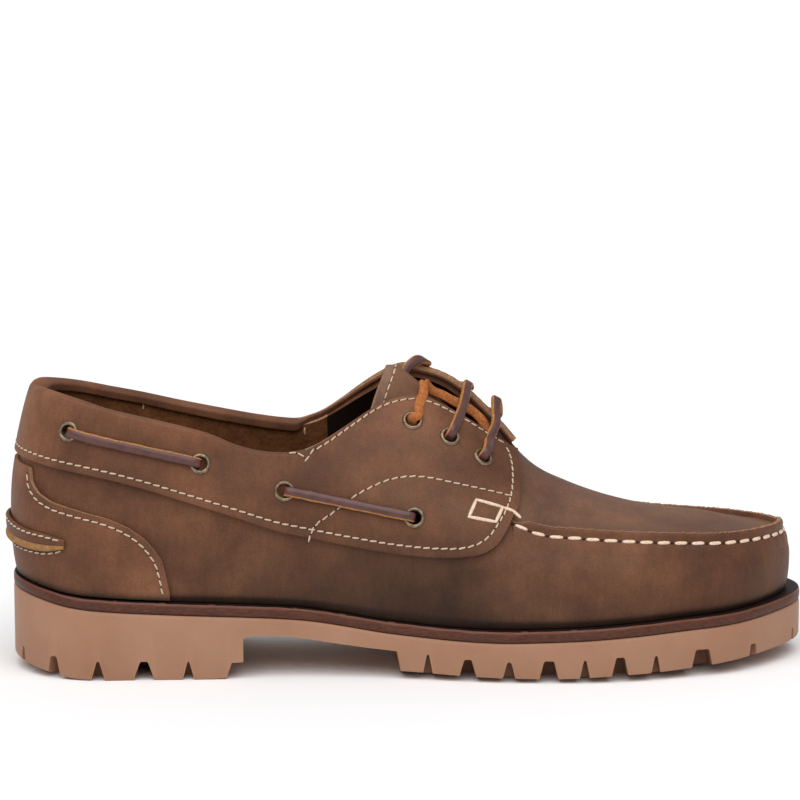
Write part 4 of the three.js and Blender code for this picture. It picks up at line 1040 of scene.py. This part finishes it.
turns = np.linspace(0, 2 * math.pi, 33)
profile = np.array(EYELET_PROFILE)
radius, height = profile[:, :1], profile[:, 1:]
ring_points = np.stack([radius * np.cos(turns), radius * np.sin(turns), height + 0 * turns], -1)
ring = grid_piece("eyelet_pattern", ring_points - (HEEL_BACK / MM, 0, 0))
face_outward(ring)
shade(ring, 60)
BRASS = (0.30, 0.225, 0.150)
BRASS_DARK = (0.13, 0.095, 0.065)
brass, tree, shader = new_material("antique_brass", BRASS, 0.36, Metallic=0.9)
tarnish = noise(tree, object_place(tree), 700, 3, 0.6)
wire(shader, Base_Color=ramp(tree, tarnish, [(0.35, BRASS_DARK), (0.62, BRASS)]))
wire(shader, Roughness=ranged(tree, tarnish, 0.5, 0.3))
hole_tools = {"saddle_band_leather": [], "upper_leather": []}
for side, inner in SIDES:
    for name in EYELETS:
        centre, normal = hole_frame(name, inner)
        made = ring.copy()
        made.data = ring.data.copy()
        made.name = made.data.name = f"eyelet_ring_{side}_{name}"
        bpy.context.collection.objects.link(made)
        made.data.transform(set_on(centre, normal))
        dress(made, [brass], "eyelet_metal", f"eyelet_{side}_{name}")
        for carrier in hole_tools:
            bpy.ops.mesh.primitive_cylinder_add(vertices=24, radius=(HOLE + HOLE_ROOM) * MM,
                                                depth=TOOL_DEPTH * MM)
            tool = bpy.context.object
            tool.data.transform(set_on(centre - normal * TOOL_INSIDE, normal))
            hole_tools[carrier].append(tool)
bpy.data.objects.remove(ring)
for carrier, tools in hole_tools.items():
    cut(bpy.data.objects[carrier], tools)

# Thread: fine cream thread along the panels' edges, and a thick waxed thread by hand along
# the apron. Each stitch is one short bar, with a small flat spot at both ends painted near-black
# as the shade in its awl hole.
THREAD = (0.62, 0.47, 0.33)
THREAD_DARK = (0.42, 0.30, 0.20)
thread, tree, shader = new_material("thread", THREAD, 0.7, Sheen_Weight=0.2)
strands = noise(tree, object_place(tree), 1800, 2)
wire(shader, Base_Color=ramp(tree, strands, [(0.35, THREAD_DARK), (0.6, THREAD)]))
waxed, tree, shader = new_material("waxed_thread", (0.80, 0.62, 0.47), 0.5)
strands = noise(tree, object_place(tree, (1, 1, 2)), 1500, 2)
tree.links.new(ramp(tree, strands, [(0.3, (0.56, 0.38, 0.27)), (0.6, (0.82, 0.63, 0.48))]),
               shader.inputs["Base Color"])
wire(shader, Normal=bump(tree, strands, 0.5, 0.2))
# Awl holes are not cut: each is a flat spot painted near-black as the shade in the hole.
awl_hole_painted_shade = new_material("awl_hole_painted_shade", (0.018, 0.009, 0.006), 0.9)[0]


def bar_pattern(name, segments, rings, squareness):
    bpy.ops.object.select_all(action="DESELECT")
    bpy.ops.mesh.primitive_uv_sphere_add(segments=segments, ring_count=rings, radius=1)
    pattern = bpy.context.object
    pattern.name = name
    corners = np.array([v.co for v in pattern.data.vertices])[:, (2, 0, 1)]
    corners[:, 0] = np.sign(corners[:, 0]) * np.abs(corners[:, 0])**squareness
    faces = [tuple(face.vertices) for face in pattern.data.polygons]
    bpy.data.objects.remove(pattern)
    return corners, faces


FINE_BAR = bar_pattern("fine_bar", 8, 7, 0.6)
THICK_BAR = bar_pattern("thick_bar", 12, 10, 0.55)


def unit(vectors):
    return vectors / np.linalg.norm(vectors, axis=-1, keepdims=True)


def sewn(name, pattern, places, size, material):
    corners, faces = pattern
    made_corners, made_faces = [], []
    for k, (centre, ahead, normal) in enumerate(places):
        across = unit(np.cross(normal, ahead))
        axes = np.stack([ahead, across, np.cross(ahead, across)])
        made_corners.append(centre + corners * (np.array(size) / 2) @ axes)
        made_faces += [tuple(i + k * len(corners) for i in face) for face in faces]
    mesh = bpy.data.meshes.new(name)
    mesh.from_pydata(in_frame(np.concatenate(made_corners)), [], made_faces)
    piece = bpy.data.objects.new(name, mesh)
    bpy.context.collection.objects.link(piece)
    face_outward(piece)
    shade(piece, 80)
    return dress(piece, [material], "upper_leather")


def spaced(points, normals, pitch, phase=0.5):
    run = run_along(points)
    count = max(int(round(run[-1] / pitch)), 1)
    places = []
    for k in range(count):
        at = (k + phase) * run[-1] / count
        ahead = read_along(run, points, at + HALF_STITCH) - read_along(run, points, at - HALF_STITCH)
        places.append((read_along(run, points, at), unit(ahead), unit(read_along(run, normals, at))))
    return places


def bar_between(ends, normal):
    return ends.mean(0), unit(ends[1] - ends[0]), normal


HALF_STITCH = 0.8
FINE_STITCH = {"pitch": 3.3, "size": (2.75, 0.68, 0.55), "hole": (0.6, 0.5, 0.22)}
THICK_STITCH = {"pitch": SEAM_PITCH, "size": (5.0, 1.45, 1.15), "hole": (1.3, 0.9, 0.5)}


def sew(name, lines, offset, kind=FINE_STITCH, pattern=FINE_BAR, material=thread, lean=0.12):
    stitches, holes = [], []
    for s, rise in lines:
        points, normals = on_face(s, rise, offset), face_normal(s, rise)
        for centre, ahead, normal in spaced(points, normals, kind["pitch"]):
            turned = ahead * math.cos(lean) + np.cross(normal, ahead) * math.sin(lean)
            stitches.append((centre, turned, normal))
        holes += spaced(points, normals, kind["pitch"], 0.0)
    sewn(name, pattern, stitches, kind["size"], material)
    sewn(name + "_holes", FINE_BAR, holes, kind["hole"], awl_hole_painted_shade)


GROOVED = -0.12
for name, line in (("band_foot", FOOT_STITCH), ("band_top", None), ("stay", STAY_STITCH)):
    lines = [face_line(line, inner) if line is not None else top_stitch(inner) for _, inner in SIDES]
    sew(f"{name}_stitches", lines, BAND_OUT + GROOVED)
sew("counter_stitches", [face_line(COUNTER_STITCH, inner, COUNTER_OUT) for _, inner in SIDES],
    COUNTER_OUT + GROOVED)
seam_line = [(seam_s, rise_after(seam_s, SEAM_RISE, -1.1))]
sew("apron_stitches", seam_line, 0.85, THICK_STITCH, THICK_BAR, waxed, 0.06)
STRAP_SEWN = 39
STRAP_DEPTH = 2.1
strap_line = np.linspace(-STRAP_SEWN, STRAP_SEWN, 60)
for name, share, over in (("strap_top_stitches", 0.86, 0.84), ("strap_low_stitches", -0.16, 0.05)):
    foot_z, head_z, _ = strap_at(strap_line)
    heights = foot_z + share * (head_z - foot_z)
    sew(name, [(strap_line, rise_at_height(strap_line, heights))], STRAP_BASE + over * STRAP_DEPTH)
# The apron thread is fastened off by a square of stitches and a loop on the saddle's front.
BOX_STITCH = np.array([(191.3, 66.8), (200.9, 63.8), (198.2, 59.2), (188.5, 61.2), (191.3, 66.8)])
BOX_LOOP = np.array([(201.6, 63.5), (204.6, 62.4), (207.1, 60.3)])
BOX_LIFT, BOX_OVER, BOX_THICK = 0.15, 1.2, (1.35, 1.1)
box_sides = [line[k:k + 2] for line in (BOX_STITCH, BOX_LOOP) for k in range(len(line) - 1)]
for side, inner in SIDES:
    for k, line in enumerate(box_sides):
        s, rise = face_line(line, inner)
        ends = on_face(s, rise, BAND_OUT + BOX_LIFT)
        size = (np.linalg.norm(ends[1] - ends[0]) + BOX_OVER, *BOX_THICK)
        bar = bar_between(ends, face_normal(s, rise)[0])
        sewn(f"box_stitch_{side}_{k}", THICK_BAR, [bar], size, waxed)
# The tongue's turned edge is sewn down along its border.
BORDER_AT = 0.82
OUT_OF_THROAT = np.array((0, -0.4, 1.0))
THREAD_LIFT = 0.1
border = int(np.searchsorted(along_tongue, BORDER_AT))
over_tongue = np.gradient(tongue_points, axis=0)[:, border]
down_tongue = np.gradient(tongue_points, axis=1)[:, border]
tongue_up = unit(np.cross(down_tongue, over_tongue))
tongue_up *= np.sign(tongue_up @ OUT_OF_THROAT)[:, None]
border_line = tongue_points[:, border] + tongue_up * (TONGUE_THICKNESS / 2 + THREAD_LIFT)
sewn("tongue_stitches", FINE_BAR, spaced(border_line, tongue_up, FINE_STITCH["pitch"]),
     FINE_STITCH["size"], thread)
# Bar tacks hold the lining inside the far collar.
INSIDE_TACKS = (69.2, 131.3)
TACK_DROPS = (6.2, 3.6)
TACK_SIZE = (3.2, 0.8, 0.8)
for station in INSIDE_TACKS:
    s = np.array([RING - station, RING - station + 0.3])
    low, top = (rise_after(s, collar_rise(s), -drop) for drop in TACK_DROPS)
    ends = on_face(s[:1], np.array([low[0], top[0]]), -LEATHER_WALL - GAP)
    tack = bar_between(ends, -face_normal(s, top)[0])
    sewn(f"bar_tack_{int(station)}", FINE_BAR, [tack], TACK_SIZE, thread)

# Laces: one length of rawhide, burgundy on the grain side and tan where it is cut, led in and
# out of the side eyelets and across the throat.
LACE_WIDTH = 3.7
LACE_THICKNESS = 1.7
LACE_STEP = 0.9
LACE_LUMPS = ((0.035, 2.3, 0), (0.025, 0.9, 1))
LACE_FACE = (0.110, 0.034, 0.026)
LACE_FACE_DARK = (0.060, 0.020, 0.016)
rawhide, tree, shader = new_material("lace_rawhide", LACE_FACE, 0.42, Coat_Weight=0.1)
grain = noise(tree, object_place(tree), 260, 4, 0.6)
wire(shader, Base_Color=ramp(tree, grain, [(0.3, LACE_FACE_DARK), (0.7, LACE_FACE)]))
wire(shader, Roughness=ranged(tree, grain, 0.36, 0.55))
wire(shader, Normal=bump(tree, grain, 0.4, 0.15))
cut_edge = raw_leather("lace_cut_edge", (0.26, 0.095, 0.028), (0.55, 0.25, 0.075))
LACE_SECTION = [(-0.5, -0.3), (-0.5, 0.1), (-0.36, 0.5), (0, 0.53), (0.36, 0.5), (0.5, 0.1), (0.5, -0.3),
                (0.42, -0.5), (0, -0.5), (-0.42, -0.5), (-0.5, -0.3)]
LACE_CUT_FACES = (0, 1, 5, 6, 7, 8, 9)
LACE_UPPER_EDGE = {False: (0, 1, 6, 7, 8, 9), True: (4, 5, 6, 7, 8, 9)}
LACE_LOWER_EDGE = {False: (4, 5, 6, 7, 8, 9), True: (0, 1, 6, 7, 8, 9)}


def lace(name, route, across, replaced=(), flesh=LACE_CUT_FACES):
    run = run_along(route)
    at = np.linspace(0, run[-1], max(int(run[-1] / LACE_STEP), 12))
    path, wide = follow(run, route, at), follow(run, across, at)
    ahead = unit(np.gradient(path, axis=0))
    wide = unit(wide - ahead * np.sum(wide * ahead, 1, keepdims=True))
    thick = np.cross(wide, ahead)
    uneven = sum((size * np.sin(at / length + turn) for size, length, turn in LACE_LUMPS), 1)
    rows = [path + wide * (u * LACE_WIDTH * uneven)[:, None] + thick * (v * LACE_THICKNESS)
            for u, v in LACE_SECTION]
    sides = np.zeros((len(LACE_SECTION) - 1, len(path) - 1))
    sides[list(flesh)] = 1
    piece = grid_piece(name, np.array(rows), sides)
    close_ends(piece)
    shade(piece, 55)
    return dress(piece, [rawhide, cut_edge], "lace_leather", *replaced)


EYELET_TOP = 0.8
CLEAR = 0.15
ABOVE_EYELET = EYELET_TOP + LACE_THICKNESS / 2 + CLEAR
SIDE_LACE_SAG = 0.35
# Through an eyelet: how far along its axis, and how far on toward the lace's other end.
THROUGH_EYELET = [(-7, 0.6), (-1.5, 0.5), (0.6, 0.6)]


def side_lace(side, inner, first, last, label):
    start, start_up = hole_frame(first, inner)
    end, end_up = hole_frame(last, inner)
    places = []
    for t in (0.16, 0.3, 0.5, 0.7, 0.84):
        station, z = (1 - t) * np.array(EYELETS[first]) + t * np.array(EYELETS[last])
        lift = ABOVE_EYELET - SIDE_LACE_SAG * math.sin(math.pi * t)
        places.append(place_on_band(station, z, inner, lift))
    toward = unit(end - start)
    route = [*(start + start_up * high + toward * on for high, on in THROUGH_EYELET),
             *(place for place, _ in places),
             *(end + end_up * high - toward * on for high, on in THROUGH_EYELET[::-1])]
    ups = [start_up] * 3 + [up for _, up in places] + [end_up] * 3
    cut_side = LACE_UPPER_EDGE if label == "rear" else LACE_LOWER_EDGE
    lace(f"lace_strip_{side}_{label}", route, np.cross(toward, ups), (f"lace_{side}_{label}",),
         cut_side[inner])


for side, inner in SIDES:
    side_lace(side, inner, "side_1", "side_2", "rear")
    side_lace(side, inner, "side_3", "side_4", "front")

# Where each lace crosses the throat, from the near stay up to the far one.
BAR_ROUTES = {
    "stay_1": [(147.7, 0, 108.1), (150.1, 2, 111.4), (153.8, 5, 113.0), (157, 8, 111.2)],
    "stay_2": [(168, -14, 95.2), (170.5, -5, 99.9), (172.8, 6, 103.4)],
    "stay_3": [(179.2, -13, 85.7), (182, -7, 90), (182.6, 0, 94.1), (183.3, 6, 97.4)],
}
BEHIND_START = [(150.1, 0, 100), (149, 0, 104)]
FOLDED_LACE = [(150.6, -22, 95.4), (152.2, -17, 98.9), (154.4, -11, 103.3), (154.6, -7, 105.6),
               (156, -4.5, 104.6), (157.6, -2.6, 102.4), (162.2, -1, 100.0), (166.5, -1, 97.6),
               (173.1, -1, 94), (177, -2, 90.3), (179.4, -3, 85)]
ACROSS_THROAT = (1.0, 0, -0.6)


def bar_end(name, inner):
    eye, up = hole_frame(name, inner)
    return eye, up, [eye + up * high for high, _ in THROUGH_EYELET[:2]]


FOLD_RISES = 1.2
FOLD_LEAVES = (0.2, 0.6, 0.6)
near, near_up, below = bar_end("stay_1", False)
route = [*below, near + near_up * FOLD_RISES + FOLD_LEAVES, *FOLDED_LACE]
across = [ACROSS_THROAT] * 6 + [(0.8, 0.4, -0.5)] + [(0.3, 0.5, 0.8)] * (len(route) - 7)
lace("lace_strip_folded", route, across, flesh=range(10))
lace_flesh = raw_leather("lace_flesh", (0.26, 0.060, 0.022), (0.52, 0.20, 0.052))
bpy.data.objects["lace_strip_folded"].data.materials[1] = lace_flesh
# Each bar comes down over the far stay's edge to its eyelet there.
OVER_EDGE_DROPS = np.array([-2.2, -7.5])
OVER_EDGE_BACK = 1.7
TOWARD_EYELET = 0.2
ABOVE_HOLE, AT_HOLE = 2.6, 0.8
BAR_LEAVES = (0.3, 0.8, 0.5)
for k, (name, crossing) in enumerate(BAR_ROUTES.items()):
    far, far_up, far_below = bar_end(name, True)
    start = BEHIND_START
    if name != "stay_1":
        near, near_up, near_below = bar_end(name, False)
        start = [*near_below, near + near_up + BAR_LEAVES]
    over_station = crossing[-1][0] + HEEL_FAN - HEEL_AXIS - OVER_EDGE_BACK
    eyelet_side = (1 - TOWARD_EYELET) * over_station + TOWARD_EYELET * EYELETS[name][0]
    s = RING - np.array([over_station, eyelet_side])
    over_rise = rise_after(s, collar_rise(s), OVER_EDGE_DROPS)
    over = on_face(s, over_rise, BAND_OUT + LACE_THICKNESS / 2 + CLEAR)
    to_edge = unit(over[1] - far)
    route = [*start, *crossing, *over, far + far_up * ABOVE_EYELET + to_edge * ABOVE_HOLE,
             far + far_up * EYELET_TOP + to_edge * AT_HOLE, *far_below[::-1]]
    lace(f"lace_strip_bar_{k + 1}", route, [ACROSS_THROAT] * len(route), (f"lace_bar_{k + 1}",))
